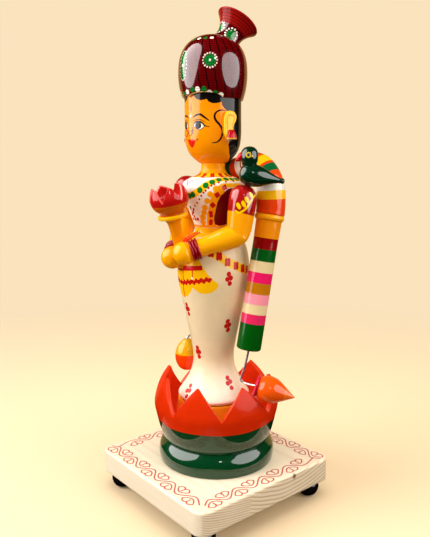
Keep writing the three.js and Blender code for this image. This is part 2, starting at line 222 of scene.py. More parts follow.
def line_field(points, line, half):
    """The distance from a grid of points to a line of points, less its half-width at each.

    On the leg from a to b the nearest spot is a + t (b - a), where t is
    (p - a).(b - a) / |b - a|^2 held between 0 and 1. Points far off are left out.
    """
    near = boxed(points, line)
    spots = points[near]
    best = np.full(len(spots), FAR)
    for a, b, wa, wb in zip(line, line[1:], half, half[1:]):
        leg = b - a
        t = np.clip((spots - a) @ leg / max(leg @ leg, TINY), 0, 1)
        away = np.linalg.norm(spots - a - t[:, None] * leg, axis=1)
        best = np.minimum(best, away - wa - t * (wb - wa))
    field = np.full(points.shape[:-1], FAR)
    field[near] = best
    return field


class Surface:
    """A grid of points in mm, rows by columns, closed round its columns.

    With it go the painted fields, which are signed distances in mm, negative inside.
    """

    def __init__(self, points):
        self.points = points
        self.fields = {}

    def paint(self, name, *fields):
        """Stores the union of some fields, which is the least of their signed distances."""
        self.fields[name] = np.minimum.reduce(
            [np.broadcast_to(f, self.points.shape[:2]) for f in fields]
        )


class Turned(Surface):
    """A profile spun round an axis: x = r cos a, y = r sin a, z = h, leant so that z is the axis.

    Radius and height may differ from column to column. `wall` is the outer line that paint is
    laid on.
    """

    def __init__(self, radius, height, angles, start, axis, wall):
        self.angle = np.broadcast_to(angles, radius.shape)
        self.radius, self.height, self.wall = radius, height, wall
        self.start, self.lean = np.asarray(start, float), leaning(axis)
        super().__init__(self.place(self.angle, height, radius))
        self.fields["along"] = height

    def place(self, angle, height, radius=None):
        """The point at an angle and a height, on the outer wall if no radius is given."""
        if radius is None:
            radius = radius_at(self.wall, height)
        a = np.radians(angle)
        local = np.stack([radius * np.cos(a), radius * np.sin(a), height + 0 * a], -1)
        return local @ self.lean.T + self.start

    def band(self, height, half):
        """A band round the piece: the distance up or down to a height, less its half-width."""
        return np.abs(self.height - height) - half

    def dots(self, marks, radius=1.0):
        """Round dots: the distance to each centre less its radius.

        A mark is (angle, height) or (angle, height, radius).
        """
        field = np.full(self.points.shape[:2], FAR)
        for mark in marks:
            centre = self.place(np.array(mark[0]), np.array(mark[1]))
            size = mark[2] if len(mark) > 2 else radius
            near = boxed(self.points, centre[None], size + NEAR)
            away = np.linalg.norm(self.points[near] - centre, axis=-1) - size
            field[near] = np.minimum(field[near], away)
        return field

    def wreath(self, angle, height, wide, high, count, radius):
        """A ring of dots, wide mm out to its sides and high mm up and down."""
        turn = np.arange(count) * 2 * np.pi / count
        across = np.degrees(wide * np.cos(turn) / float(radius_at(self.wall, height)))
        marks = [(angle + a, height + high * up) for a, up in zip(across, np.sin(turn))]
        return self.dots(marks, radius)

    def stroke(self, marks, width=0.5, ends=1.0, straight=False, closed=False):
        """A brush stroke: the distance to a smooth path through the marks, less its half-width.

        The half-width is `width` in the middle and thins to `ends` times that at the tips.
        """
        marks = np.asarray(marks, float)
        if closed:
            marks = np.vstack([marks, marks[:1]])
        path = np.c_[np.unwrap(marks[:, 0], period=360), marks[:, 1]] * STROKE_SCALE
        if not straight and len(path) > 2:
            path = through(path, 12 * len(path))
        length = run_of(path)[-1]
        at = np.linspace(0, length, max(int(length / STROKE_STEP), 2) + 1)
        path = resampled(path, at) / STROKE_SCALE
        swell = np.clip(np.sin(np.pi * at / length), 0, 1) ** SWELL
        half = width * (ends + (1 - ends) * swell)
        return line_field(self.points, self.place(path[:, 0], path[:, 1]), half)

    def patch(self, marks):
        """A filled outline: the distance to its edge, negative inside.

        A point is inside if a line of equal height crosses an odd number of edges beside it.
        """
        marks = np.asarray(marks, float)
        marks[:, 0] = np.unwrap(marks[:, 0], period=360)
        edge = self.stroke(marks, 0.0, straight=True, closed=True)
        middle = marks[:, 0].mean()
        angle = off_by(self.angle, middle) + middle
        inside = np.zeros(angle.shape, bool)
        for (a0, h0), (a1, h1) in zip(marks, np.roll(marks, -1, axis=0)):
            crosses = (h0 > self.height) != (h1 > self.height)
            rise = h1 - h0 if h1 != h0 else TINY
            inside ^= crosses & (angle < a0 + (self.height - h0) / rise * (a1 - a0))
        return np.where(inside, -edge, edge)

    def squares(self, marks, side):
        """Small squares: the greater of the distances across and up, less half a side.

        They stand square to the lathe, unless a mark carries its own turn in degrees.
        """
        field = np.full(self.points.shape[:2], FAR)
        for mark in marks:
            centre = self.place(np.array(mark[0]), np.array(mark[1]))
            near = boxed(self.points, centre[None])
            away = self.points[near] - centre
            a = math.radians(mark[0])
            across = away @ (self.lean @ [-math.sin(a), math.cos(a), 0])
            up = away @ self.lean[:, 2]
            turn = math.radians(mark[2]) if len(mark) > 2 else 0.0
            u = across * math.cos(turn) + up * math.sin(turn)
            v = up * math.cos(turn) - across * math.sin(turn)
            size = np.maximum(np.abs(u), np.abs(v)) - side / 2
            field[near] = np.minimum(field[near], size)
        return field


def mirrored(marks, about=DRESS):
    """The marks and their mirror image: an angle becomes twice the azimuth less the angle."""
    return [marks, [(2 * about - m[0], *m[1:]) for m in marks]]


def pair(marks, make, about=DRESS, **how):
    """The fields of some marks and of their mirror image."""
    return [make(m, **how) for m in mirrored(marks, about)]


def turned(knots, columns=96, step=0.8, sharp=(), ease=0.3, start=(0, 0, 0), axis=(0, 0, 1)):
    """A closed turned piece: its profile runs out from the axis, up, and back to the axis."""
    knots = [tuple(k) for k in knots]
    sharp, first, last = list(sharp), 0.0, 0.0
    if knots[0][0] > 0:
        first = knots[0][0] - END_EDGE
        knots.insert(0, (0.0, knots[0][1]))
        sharp = [s + 1 if s >= 0 else s for s in sharp] + [1]
    if knots[-1][0] > 0:
        last = knots[-1][0] - END_EDGE
        knots.append((0.0, knots[-1][1]))
        sharp = [s - 1 if s < 0 else s for s in sharp] + [len(knots) - 2]
    line = fine_line(knots, sharp, ease)
    rows = rows_of(line, step, hidden=(first, last))
    angles = np.arange(columns) * 360 / columns
    radius, height = (np.repeat(rows[:, i, None], columns, 1) for i in (0, 1))
    return Turned(radius, height, angles, start, axis, line)


V_ROUND = 0.25  # mm by which the floor of a V cut is rounded
V_REACH = 60.0  # degrees to either side that a V may reach
V_BESIDE = 0.35  # degrees from the middle of a V to the columns beside it
V_EDGE = 0.3  # mm from a cut face to the nearest row of the wall
V_BELOW = 4.0  # mm below the deepest V from where the rows follow the rim
V_ROUNDS = 8  # times that rim and radius are worked out from each other
V_ROWS = np.array([0.1, 0.22, 0.4, 0.6, 0.78, 0.9])[:, None]  # rows of a cut face, across it
CLOSEST = 0.08  # degrees, the least from column to column


def cut_rim(line, angles, rim, cuts):
    """The height of a rim with V cuts at each column: a V's floor + slope |r sin(a - a0)|.

    A cut is (azimuth, floor, width before it, width after it).
    """
    top = np.full(len(angles), float(rim))
    for _ in range(V_ROUNDS):
        radius = radius_at(line, top)
        top = np.full(len(angles), float(rim))
        for azimuth, floor, before, after in cuts:
            off = off_by(angles, azimuth)
            across = radius * np.sin(np.radians(off))
            width = np.where(across < 0, before, after)
            v = floor + np.hypot(across, V_ROUND) * (rim - floor) / width
            top = np.where(np.abs(off) < V_REACH, np.minimum(top, v), top)
    return top


def petalled(outer, inner, cuts, columns, start, axis=(0, 0, 1), step=0.8, sharp=()):
    """A hollow cup whose rim has V cuts, so that each column stops at its own height.

    The rows go up the outer wall, over the cut face and down the inner wall to the floor.
    """
    wide, rim = outer[-1]
    notch = np.array([c[0] for c in cuts], float)
    tips = [
        azimuth + math.degrees(math.asin(off / wide))
        for azimuth, _, before, after in cuts
        for off in (-before, after)
    ]
    extra = np.array([*notch, *(notch - V_BESIDE), *(notch + V_BESIDE), *tips]) % 360
    angles = np.sort(np.r_[np.arange(columns) * 360 / columns, extra])
    angles = angles[np.r_[True, np.diff(angles) > CLOSEST]]

    low = min(c[1] for c in cuts) - V_BELOW
    walls = []
    for line in (fine_line(outer, sharp), fine_line(inner)):
        top = cut_rim(line, angles, rim, cuts)
        rows = stretched(rows_of(line, step), line, low, rim, top - V_EDGE)
        walls.append((line, top, radius_at(line, top), *rows))
    (line, top_out, edge_out, r_out, z_out), (_, top_in, edge_in, r_in, z_in) = walls
    r_cut = edge_out + V_ROWS * (edge_in - edge_out)
    z_cut = top_out + V_ROWS * (top_in - top_out)
    radius = np.vstack([0 * r_out[:1], r_out, r_cut, r_in, 0 * r_in[-1:]])
    height = np.vstack([z_out[:1], z_out, z_cut, z_in, z_in[-1:]])
    cup = Turned(radius, height, angles, start, axis, line)

    # Fields for the paint of the cut faces, and of everything inside them.
    below = np.vstack([top_out - z_out[:1], top_out - z_out])
    beyond = np.vstack([top_in - z_in, top_in - z_in[-1:]])
    face = np.broadcast_to(-np.minimum(V_ROWS, 1 - V_ROWS) * 2 - 0.1, r_cut.shape)
    cup.fields["cut"] = np.vstack([below, face, beyond])
    cup.fields["inside"] = np.vstack([below + 1, 0 * face, -1 - beyond])
    return cup


ASIDE = (0.3, 1, 0.2)  # a direction that no path starts along


def carried(radius, path, columns=40):
    """A round section carried along a path: centre + radius (e1 cos a + e2 sin a).

    e1 and e2 stand square to the path and are slid along it, so that they don't twist.
    """
    path = np.asarray(path, float)
    along = np.gradient(path, axis=0)
    along /= np.linalg.norm(along, axis=1)[:, None]
    side = np.empty_like(along)
    side[0] = unit(np.cross(along[0], ASIDE))
    for i in range(1, len(path)):
        side[i] = unit(side[i - 1] - along[i] * (side[i - 1] @ along[i]))
    other = np.cross(along, side)
    a = np.arange(columns) * 2 * np.pi / columns
    ring = side[:, None] * np.cos(a)[:, None] + other[:, None] * np.sin(a)[:, None]
    wall = path[:, None] + ring * np.asarray(radius)[:, None, None]
    ends = [np.repeat(p[None, None], columns, 1) for p in (path[0], path[-1])]
    tube = Surface(np.concatenate([ends[0], wall, ends[1]]))
    run = run_of(path)
    tube.fields["along"] = np.repeat(np.r_[run[0], run, run[-1]][:, None], columns, 1)
    return tube


UV_EDGE = 0.004  # margin round the UV map


def faces_of(name, grid):
    """The vertices that a grid keeps, and the corners and UVs of its faces.

    The first and the last row are poles, which become one vertex each with triangles round it.
    """
    rows, columns = grid.shape[:2]
    index = np.arange(rows * columns).reshape(rows, columns)
    for k in (0, -1):
        if np.ptp(grid[k], axis=0).max() > ON_AXIS:
            raise RuntimeError(f"{name} isn't closed at row {k}")
        index[k] = index[k, 0]
    keep, index = np.unique(index, return_inverse=True)
    index = index.reshape(rows, columns)
    right = np.roll(index, -1, axis=1)
    faces = np.stack([index[:-1], right[:-1], right[1:], index[1:]], -1)

    u = np.arange(columns) / columns
    size = 1 / columns
    v = run_of(grid[:, 0])
    v = UV_EDGE + (1 - 2 * UV_EDGE) * v / v[-1]
    face_u = UV_EDGE + (1 - 2 * UV_EDGE) * np.stack([u, u + size, u + size, u], -1)
    face_v = np.stack([v[:-1], v[:-1], v[1:], v[1:]], -1)[:, None]
    uv = np.stack(np.broadcast_arrays(face_u, face_v), -1)

    bottom, top = [0, 2, 3], [0, 1, 2]
    parts = [
        np.concatenate([a[0][:, bottom].ravel(), a[1:-1].ravel(), a[-1][:, top].ravel()])
        for a in (faces, uv[..., 0], uv[..., 1])
    ]
    sizes = np.full((rows - 1) * columns, 4)
    sizes[:columns] = sizes[-columns:] = 3
    return keep, index, parts[0], np.stack(parts[1:], -1), sizes


def make_piece(node, surface, finish):
    """Puts a surface into a mesh that stands for a CAD node: smooth, its fields as attributes."""
    name = node + "_piece"
    keep, index, corners, uv, sizes = faces_of(name, surface.points)
    points = surface.points.reshape(-1, 3)[keep] * MM
    mesh = bpy.data.meshes.new(name)
    mesh.vertices.add(len(points))
    mesh.vertices.foreach_set("co", points.astype(np.float32).ravel())
    mesh.loops.add(len(corners))
    mesh.loops.foreach_set("vertex_index", corners.astype(np.int32))
    mesh.polygons.add(len(sizes))
    starts = np.r_[0, np.cumsum(sizes)[:-1]]
    mesh.polygons.foreach_set("loop_start", starts.astype(np.int32))
    mesh.update(calc_edges=True)
    mesh.uv_layers.new(name="OFBake").data.foreach_set("uv", uv.astype(np.float32).ravel())
    for field, values in surface.fields.items():
        layer = mesh.attributes.new(field, "FLOAT", "POINT")
        layer.data.foreach_set("value", values.ravel()[keep].astype(np.float32))
    mesh.shade_smooth()
    mesh.materials.append(finish)

    # The volume, as a sum of the triple products of its triangles, is positive if they face out.
    grid = points[index]
    low, high = grid[:-1], grid[1:]
    low_right, high_right = (np.roll(part, -1, axis=1) for part in (low, high))
    normals = np.cross(low_right, high_right) + np.cross(high_right, high)
    if np.einsum("ijk,ijk", low, normals) <= 0:
        raise RuntimeError(f"{name} is inside out")
    if mesh.validate(verbose=False):
        raise RuntimeError(f"{name} has bad faces")
    piece = bpy.data.objects.new(name, mesh)
    bpy.context.scene.collection.objects.link(piece)
    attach(piece, "root")
    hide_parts(node)


# ---------------------------------------------------------------- finishes


class Value:
    """A number that a node gives. Python's operators add Math nodes after it."""

    def __init__(self, finish, socket):
        self.finish, self.socket = finish, socket

    def math(self, operation, *others, clamp=False):
        """The node of any other operation. With clamp it holds the result between 0 and 1."""
        settings = {"operation": operation, "use_clamp": clamp}
        sockets = dict(enumerate((self, *others)))
        return self.finish.node("ShaderNodeMath", settings, sockets)

    def __add__(self, other):
        return self.math("ADD", other)

    __radd__ = __add__

    def __mul__(self, other):
        return self.math("MULTIPLY", other)

    __rmul__ = __mul__

    def __sub__(self, other):
        return self.math("SUBTRACT", other)

    def __rsub__(self, other):
        return (self * -1.0).math("ADD", other)


class Finish:
    """One material and its nodes."""

    def __init__(self, name):
        self.material = bpy.data.materials.new(name)
        self.material.use_nodes = True
        self.tree = self.material.node_tree
        self.tree.nodes.clear()

    def node(self, kind, settings=None, sockets=None, output=0):
        """Adds a node, sets it up, gives its sockets values or links, and returns an output."""
        node = self.tree.nodes.new(kind)
        for key, value in (settings or {}).items():
            if key == "stops":
                ramp = node.color_ramp
                while len(ramp.elements) < len(value):
                    ramp.elements.new(0.5)
                for stop, (position, colour) in zip(ramp.elements, value):
                    stop.position, stop.color = position, (*colour, 1)
            else:
                setattr(node, key, value)
        for key, value in (sockets or {}).items():
            if isinstance(value, Value):
                self.tree.links.new(value.socket, node.inputs[key])
            elif isinstance(value, tuple) and len(node.inputs[key].default_value) == 4:
                node.inputs[key].default_value = (*value[:3], 1)
            else:
                node.inputs[key].default_value = value
        return Value(self, node.outputs[output]) if node.outputs else None

    def field(self, name):
        """A number painted on the mesh."""
        return self.node("ShaderNodeAttribute", {"attribute_name": name}, output="Fac")

    def place(self):
        """The place on the piece, in metres."""
        return self.node("ShaderNodeTexCoord", output="Object")

    def split(self, vector):
        """The three parts of a vector."""
        node = self.node("ShaderNodeSeparateXYZ", sockets={0: vector}).socket.node
        return [Value(self, socket) for socket in node.outputs]

    def joined(self, x, y, z):
        """A vector from three numbers."""
        return self.node("ShaderNodeCombineXYZ", sockets={0: x, 1: y, 2: z})

    def noise(self, scale, detail=2.0, vector=None, roughness=0.5):
        """Soft noise round 0.5."""
        sockets = {"Scale": scale, "Detail": detail, "Roughness": roughness}
        sockets["Vector"] = vector or self.place()
        return self.node("ShaderNodeTexNoise", sockets=sockets)

    def mix(self, share, first, second, blend="MIX"):
        """A colour between two colours."""
        settings = {"data_type": "RGBA", "blend_type": blend}
        return self.node("ShaderNodeMix", settings, {0: share, 6: first, 7: second}, 2)

    def within(self, distance, soft=0.14):
        """1 where a signed distance in mm is negative and 0 elsewhere, with a soft edge."""
        return (0.5 - distance * (1 / soft)).math("ADD", 0.0, clamp=True)

    def shaded(self, colour, shade):
        """A colour made darker or lighter by a number."""
        grey = self.node("ShaderNodeCombineColor", sockets={0: shade, 1: shade, 2: shade})
        return self.mix(1.0, colour, grey, "MULTIPLY")

    def close(self, colour, roughness, bump=None, depth=0.0, **rest):
        """Ends the material in a Principled shader."""
        sockets = {"Base Color": colour, "Roughness": roughness, **rest}
        if bump is not None:
            height = {"Strength": 1.0, "Distance": depth, "Height": bump}
            sockets["Normal"] = self.node("ShaderNodeBump", sockets=height)
        shader = self.node("ShaderNodeBsdfPrincipled", sockets=sockets)
        self.node("ShaderNodeOutputMaterial", sockets={0: shader})
        return self.material


def colour_of(name):
    """A colour of the panel."""
    return tuple(getattr(bpy.context.scene.doll_colours, name))


# Noises of the lacquer, in cells a metre: the brush's shake, clouds, dust and ripples.
SHAKE, CLOUDS, DUST, RIPPLES = 520.0, 95.0, 1400.0, 260.0
STREAK_PITCH, STREAK_TONE, CLOUD_TONE = 1.7, 0.34, 0.3
RING_PITCH, RING_DRIFT = 3.9, 5.0  # lines of the lathe, in radians a mm, and their drift
LACQUER_BUMP = 0.00009
BAND_SOFT, BAND_WOBBLE = 0.2, 0.4  # mm of a band's edge, and its share of the brush's shake
LACQUER_ROUGH, ROUGH_CLOUD, ROUGH_DUST = 0.2, 0.16, 0.08
COAT_ROUGH, LACQUER_SPECULAR = 0.035, 0.06


def lacquer(
    name,
    base,
    paints=(),
    bands=(),
    wobble=0.25,
    streaks=0.5,
    patchy=0.5,
    dull=0.0,
    glossy=(),
    rings=0.0,
):
    """Coloured lacquer melted on in the lathe, then painted over with a brush and varnished.

    base is the ground colour. bands are (height, colour) or (height, colour, soft): above that
    height the ground changes, over soft mm. paints are (field, colour) in the order of painting.
    dull takes that share of the varnish away, but not from the paints named in glossy. rings is
    the depth of the lathe's lines.
    """
    f = Finish(name)
    varnish = bpy.context.scene.doll_sizes.varnish
    along = f.field("along")
    hand = (f.noise(SHAKE, 2.0) - 0.5) * wobble * 2.0
    colour = base
    for height, above, *soft in bands:
        edge = height - along + hand * BAND_WOBBLE
        colour = f.mix(f.within(edge, *soft or [BAND_SOFT]), colour, above)
    streak = f.noise(1.0, 3.0, f.joined(along * STREAK_PITCH, 0.0, 0.0))
    cloud = f.noise(CLOUDS, 3.0)
    coat = varnish * (1 - dull)
    for field, paint in paints:
        mask = f.within(f.field(field) + hand)
        colour = f.mix(mask, colour, paint)
        if field in glossy:
            coat = mask * (varnish * dull) + coat
    shade = 1.0 + (streak - 0.5) * STREAK_TONE * streaks + (cloud - 0.5) * CLOUD_TONE * patchy
    if rings:
        shade = shade + (along * RING_PITCH + streak * RING_DRIFT).math("SINE") * rings
    colour = f.shaded(colour, shade)
    rough = LACQUER_ROUGH + (cloud - 0.5) * ROUGH_CLOUD
    rough = rough + (f.noise(DUST, 1.0) - 0.5) * ROUGH_DUST
    bump = streak * 0.7 + f.noise(RIPPLES, 2.0) * 0.6
    rest = {
        "Coat Weight": coat,
        "Coat Roughness": COAT_ROUGH,
        "Specular IOR Level": LACQUER_SPECULAR,
    }
    return f.close(colour, rough, bump, LACQUER_BUMP, **rest)


# The pine, in metres: two boards glued at y = JOINT, each with the middle of its growth rings
# at HEART, and HEART_STEP further on the second.
JOINT = -0.020
HEART, HEART_STEP = (0.0215, 0.121), (-0.010, 0.140)
RINGS, MORE_RINGS = 345.0, 285.0  # growth rings a metre, and more of them on the second
TOP_FACE, END_GRAIN = 0.0304, 0.0605  # where the top face and the end grain begin
BRANCH, BRANCH_SIZE = (0.0635, 0.0230, 0.0290), 600.0  # the knot's place, and 1 over its size
END_WOOD, BRANCH_WOOD = linear(160, 114, 68), linear(110, 70, 40)
# Soft edges, as 1 over their width: between the boards, of the top face and of the end grain,
# and of the line of glue.
BOARD_EDGE, FACE_EDGE, GRAIN_EDGE, GLUE_EDGE = 40000.0, 4000.0, 700.0, 5200.0
GRAIN_WANDER = 0.0032
# Noises of the wood in cells a metre, along X and across it.
WANDER, FIBRES, BROAD = (9.0, 26.0), (60.0, 2600.0), (14.0, 70.0)
PINE_BUMP = 0.00012


def pine(name):
    """Planed pine: growth rings are cylinders along X, one set for each of two glued boards.

    ring = fract(density sqrt((y - y0)^2 + (z - z0)^2) + noise), with fine fibres along X, darker
    end grain, a small knot and a painted vine.
    """
    f = Finish(name)
    spot = f.place()
    x, y, z = f.split(spot)

    def along_grain(pitch, detail):
        long, across = pitch
        return f.noise(1.0, detail, f.joined(x * long, y * across, z * across))

    second = (JOINT - y).math("MULTIPLY", BOARD_EDGE, clamp=True)
    wander = (along_grain(WANDER, 2.0) - 0.5) * GRAIN_WANDER
    off_y = y - (second * HEART_STEP[0] + HEART[0])
    off_z = z - (second * HEART_STEP[1] + HEART[1])
    reach = (off_y * off_y + off_z * off_z).math("SQRT") + wander
    count = reach * (second * MORE_RINGS + RINGS)
    uneven = (f.noise(1.0, 1.0, f.joined(count * 0.35, second * 7.0, 0.0)) - 0.5) * 1.1
    ring = (count + uneven).math("FRACT")
    light, dark = colour_of("pine"), colour_of("pine_rings")
    middle = tuple(a * 0.62 + b * 0.38 for a, b in zip(light, dark))
    stops = [(0.0, light), (0.52, light), (0.8, middle), (0.93, dark), (1.0, light)]
    grain = f.node("ShaderNodeValToRGB", {"stops": stops}, {0: ring})
    fibres, broad = along_grain(FIBRES, 3.0), along_grain(BROAD, 2.0)
    face = (z - TOP_FACE).math("MULTIPLY", FACE_EDGE, clamp=True)
    end = (x.math("ABSOLUTE") - END_GRAIN).math("MULTIPLY", GRAIN_EDGE, clamp=True)
    fade = (0.9 - (broad - 0.5) * 1.8) * (0.45 - face * 0.12 + end * 0.4)
    colour = f.mix(fade.math("ADD", 0.0, clamp=True), light, grain)
    late = (ring - 0.62) * 2.6 * (1.38 - ring).math("MULTIPLY", 1.6, clamp=True)
    late = (late * end * (1.0 - face) * 0.9).math("ADD", 0.0, clamp=True)
    colour = f.mix(late, colour, END_WOOD)
    colour = f.shaded(colour, 1.0 + (fibres - 0.5) * 0.2 + (broad - 0.5) * 0.12)
    glue = 1.0 - (y - JOINT).math("ABSOLUTE") * GLUE_EDGE
    glue = glue.math("MULTIPLY", 0.35, clamp=True)
    colour = f.mix(glue, colour, dark)
    colour = f.mix(end * (1.0 - face) * 0.22, colour, tuple(c * 0.72 for c in dark))
    branch = f.joined(*BRANCH)
    away = f.node("ShaderNodeVectorMath", {"operation": "DISTANCE"}, {0: spot, 1: branch}, 1)
    knot = (1.5 - away * BRANCH_SIZE).math("MULTIPLY", 1.0, clamp=True)
    colour = f.mix(knot, colour, BRANCH_WOOD)
    hand = (f.noise(620.0, 2.0) - 0.5) * 0.5
    colour = f.mix(f.within(f.field("vine") + hand, 0.2) * 0.92, colour, colour_of("vine"))
    rough = 0.42 + (fibres - 0.5) * 0.2
    rest = {"Coat Weight": 0.1, "Coat Roughness": 0.2, "Specular IOR Level": 0.2}
    return f.close(colour, rough, fibres * 0.5 + ring * 0.5, PINE_BUMP, **rest)


STEEL_BUMP = 0.00003


def steel(name):
    """Drawn wire: grey metal with faint marks."""
    f = Finish(name)
    marks = f.noise(900.0, 2.0)
    tone = f.mix(marks, linear(150, 150, 152), linear(205, 205, 206))
    return f.close(tone, 0.22 + marks * 0.2, marks, STEEL_BUMP, Metallic=1.0)


# ---------------------------------------------------------------- what a user may change

COLOURS = {
    "amber": ("Amber", "Upper arms, neck and sides of the blouse", (254, 164, 4)),
    "yellow": ("Yellow", "Bands of the dress and the shawl", (255, 192, 6)),
    "lemon": ("Lemon", "Belt", (254, 202, 30)),
    "white": ("White", "Blouse, eyes and dots", (246, 240, 230)),
    "cream": ("Cream", "Skirt", (236, 214, 176)),
    "red": ("Red", "Painted flowers and dots", (200, 20, 18)),
    "maroon": ("Maroon", "Crown and its knot", (92, 1, 3)),
    "armhole": ("Armhole", "Painted armholes of the blouse", (108, 3, 9)),
    "dark": ("Dark stripes", "Stripes of the crown", (44, 2, 5)),
    "green": ("Green", "Dots of the dress and the crown", (8, 114, 38)),
    "deep_green": ("Deep green", "Ring under the seat", (3, 56, 26)),
    "orange": ("Orange", "Lotus seat", (206, 43, 4)),
    "cut": ("Cut face", "Faces of the V cuts", (226, 62, 24)),
    "sleeve": ("Sleeve", "Sleeves of the blouse", (168, 14, 16)),
    "black": ("Black", "Hair, brows and feet", (16, 13, 12)),
    "pine": ("Pine", "Early wood of the plinth", (242, 227, 203)),
    "pine_rings": ("Pine rings", "Late wood of the plinth", (222, 192, 146)),
    "vine": ("Vine", "Painted border of the plinth", (182, 44, 52)),
    "floor": ("Floor", "Floor of the studio near the doll", (236, 214, 178)),
    "backdrop": ("Backdrop", "Glow of the studio away from the doll", (250, 227, 189)),
}


def colour_property(title, use, colour):
    """One colour swatch of the panel."""
    start = linear(*colour)
    return FloatVectorProperty(
        name=title, description=use, subtype="COLOR", size=3, min=0, max=1, default=start
    )


def length_property(title, use, start, low, high):
    """One length of the panel, in metres."""
    return FloatProperty(
        name=title, description=use, default=start, min=low, max=high, unit="LENGTH"
    )


class DOLL_PG_colours(bpy.types.PropertyGroup):
    """Lacquers, paints and wood."""

    __annotations__ = {key: colour_property(*value) for key, value in COLOURS.items()}


class DOLL_PG_sizes(bpy.types.PropertyGroup):
    """Sizes and gloss."""

    plinth_side: length_property(
        "Plinth side", "Side of the square plinth", 0.127, 0.12, 0.13
    )
    plinth_edge: length_property(
        "Plinth edge", "Rounding of the plinth's edges", 0.0016, 0.0005, 0.003
    )
    wire: length_property(
        "Wire radius", "Half the thickness of the garland's wire", 0.0008, 0.0004, 0.0012
    )
    # From 0.72 mm up the body stays under 200,000 triangles.
    fineness: length_property(
        "Row spacing", "Spacing of the mesh rows on the painted body", 0.00072, 0.00072, 0.002
    )
    varnish: FloatProperty(
        name="Varnish",
        description="Weight of the clear coat on the lacquer",
        default=1.0,
        min=0,
        max=1,
        subtype="FACTOR",
    )


# ---------------------------------------------------------------- plinth

FOOT = [(3, 0), (6.08, 2.1), (8, 5.9), (8, 9.1), (6.08, 12.9), (3, 14.9)]
FOOT_OFF = 51.5
# The underside is 1.4 mm below the solid's, as the board hides its front foot in the photograph.
PLINTH_LOW, PLINTH_TOP, CORNER = 13.6, 31.0, 9.0
OUTLINE = 1080  # columns round the board
# Rings of the top face as shares of the way out, closest where the vine is painted.
TOP_RINGS = np.r_[0, 0.3, 0.6, 0.7, np.linspace(0.73, 1, 36)]
LOW_RINGS = (0, 0.5, 0.9, 1)


def plinth_board(side, edge):
    """A square board with round corners and round edges.

    Its outline is pulled in by the edge radius, and a quarter circle of that radius is carried
    round it along its normal. The flat faces are the outline scaled to its centre.
    """
    half, corner = side / 2 - edge, CORNER - edge
    straight = 2 * (half - corner)
    arc = corner * math.pi / 2
    lap = straight + arc
    t = np.arange(OUTLINE) * 4 * lap / OUTLINE
    quarter, s = (t // lap).astype(int), t % lap
    bend = np.clip((s - straight) / arc, 0, 1) * math.pi / 2
    x = half - corner + corner * np.cos(bend)
    y = np.minimum(s, straight) - straight / 2 + corner * np.sin(bend)
    cos, sin = np.cos(quarter * math.pi / 2), np.sin(quarter * math.pi / 2)
    ring, normal = (
        np.stack([a * cos - b * sin, a * sin + b * cos], -1)
        for a, b in ((x, y), (np.cos(bend), np.sin(bend)))
    )
    q = np.linspace(0, math.pi / 2, 6)[1:]
    # Each row: share of the outline, mm out along its normal, height.
    profile = np.array(
        [(k, 0, PLINTH_LOW) for k in LOW_RINGS]
        + [(1, edge * math.sin(a), PLINTH_LOW + edge * (1 - math.cos(a))) for a in q]
        + [(1, edge, z) for z in np.linspace(PLINTH_LOW + edge, PLINTH_TOP - edge, 9)[1:]]
        + [(1, edge * math.cos(a), PLINTH_TOP - edge * (1 - math.sin(a))) for a in q]
        + [(k, 0, PLINTH_TOP) for k in TOP_RINGS[::-1][1:]]
    )
    share, out, z = (profile[:, i, None, None] for i in range(3))
    flat = ring[None] * share + normal[None] * out
    board = Surface(np.concatenate([flat, np.broadcast_to(z, (*flat.shape[:2], 1))], -1))
    board.fields["vine"] = vine(board.points, side)
    return board


# One eye of the border, in mm across the side and in from the edge, about its own middle.
EYE = [(-6.2, 0.6), (-3.4, -2.2), (0, -3.4), (3.4, -2.2), (6.2, 0.6)]
EYE_TOP = [(-6.2, 0.6), (-3.6, 2.7), (-1.2, 2.6), (0, 1.5), (1.2, 2.6), (3.6, 2.7), (6.2, 0.6)]
EYE_MARK = [(0, -0.5), (0, -1.7)]
EYE_LINES = ((EYE, 0.52), (EYE_TOP, 0.52), (EYE_MARK, 0.6))
EYE_DOT, EYE_DOT_IN, EYE_SQUEEZE = 0.75, 0.8, 0.92
EYE_FROM_NEAR, EYE_FROM_FAR = 11.3, 5.6  # how far in the eyes of near and far turns lie
# Where the wave turns along a side: its turns near the edge, and those further in.
LONG_WAVE = ((21, 45.3, 69.6, 94), (9.5, 33, 57.5, 82, 107))
SHORT_WAVE = ((28, 51.5, 76, 101), (16.5, 39.5, 64.5, 89.5))
WAVES = (LONG_WAVE, SHORT_WAVE, LONG_WAVE, SHORT_WAVE)  # front, right, back and left
WAVE_NEAR, WAVE_FAR, WAVE_HALF = 4.6, 12.2, 0.55
WAVE_LEAD, WAVE_MIDDLE = 6, 8.4  # where it starts: mm before its first turn, and mm in
WAVE_TIP, WAVE_POINTS = (116, 8.0), 160


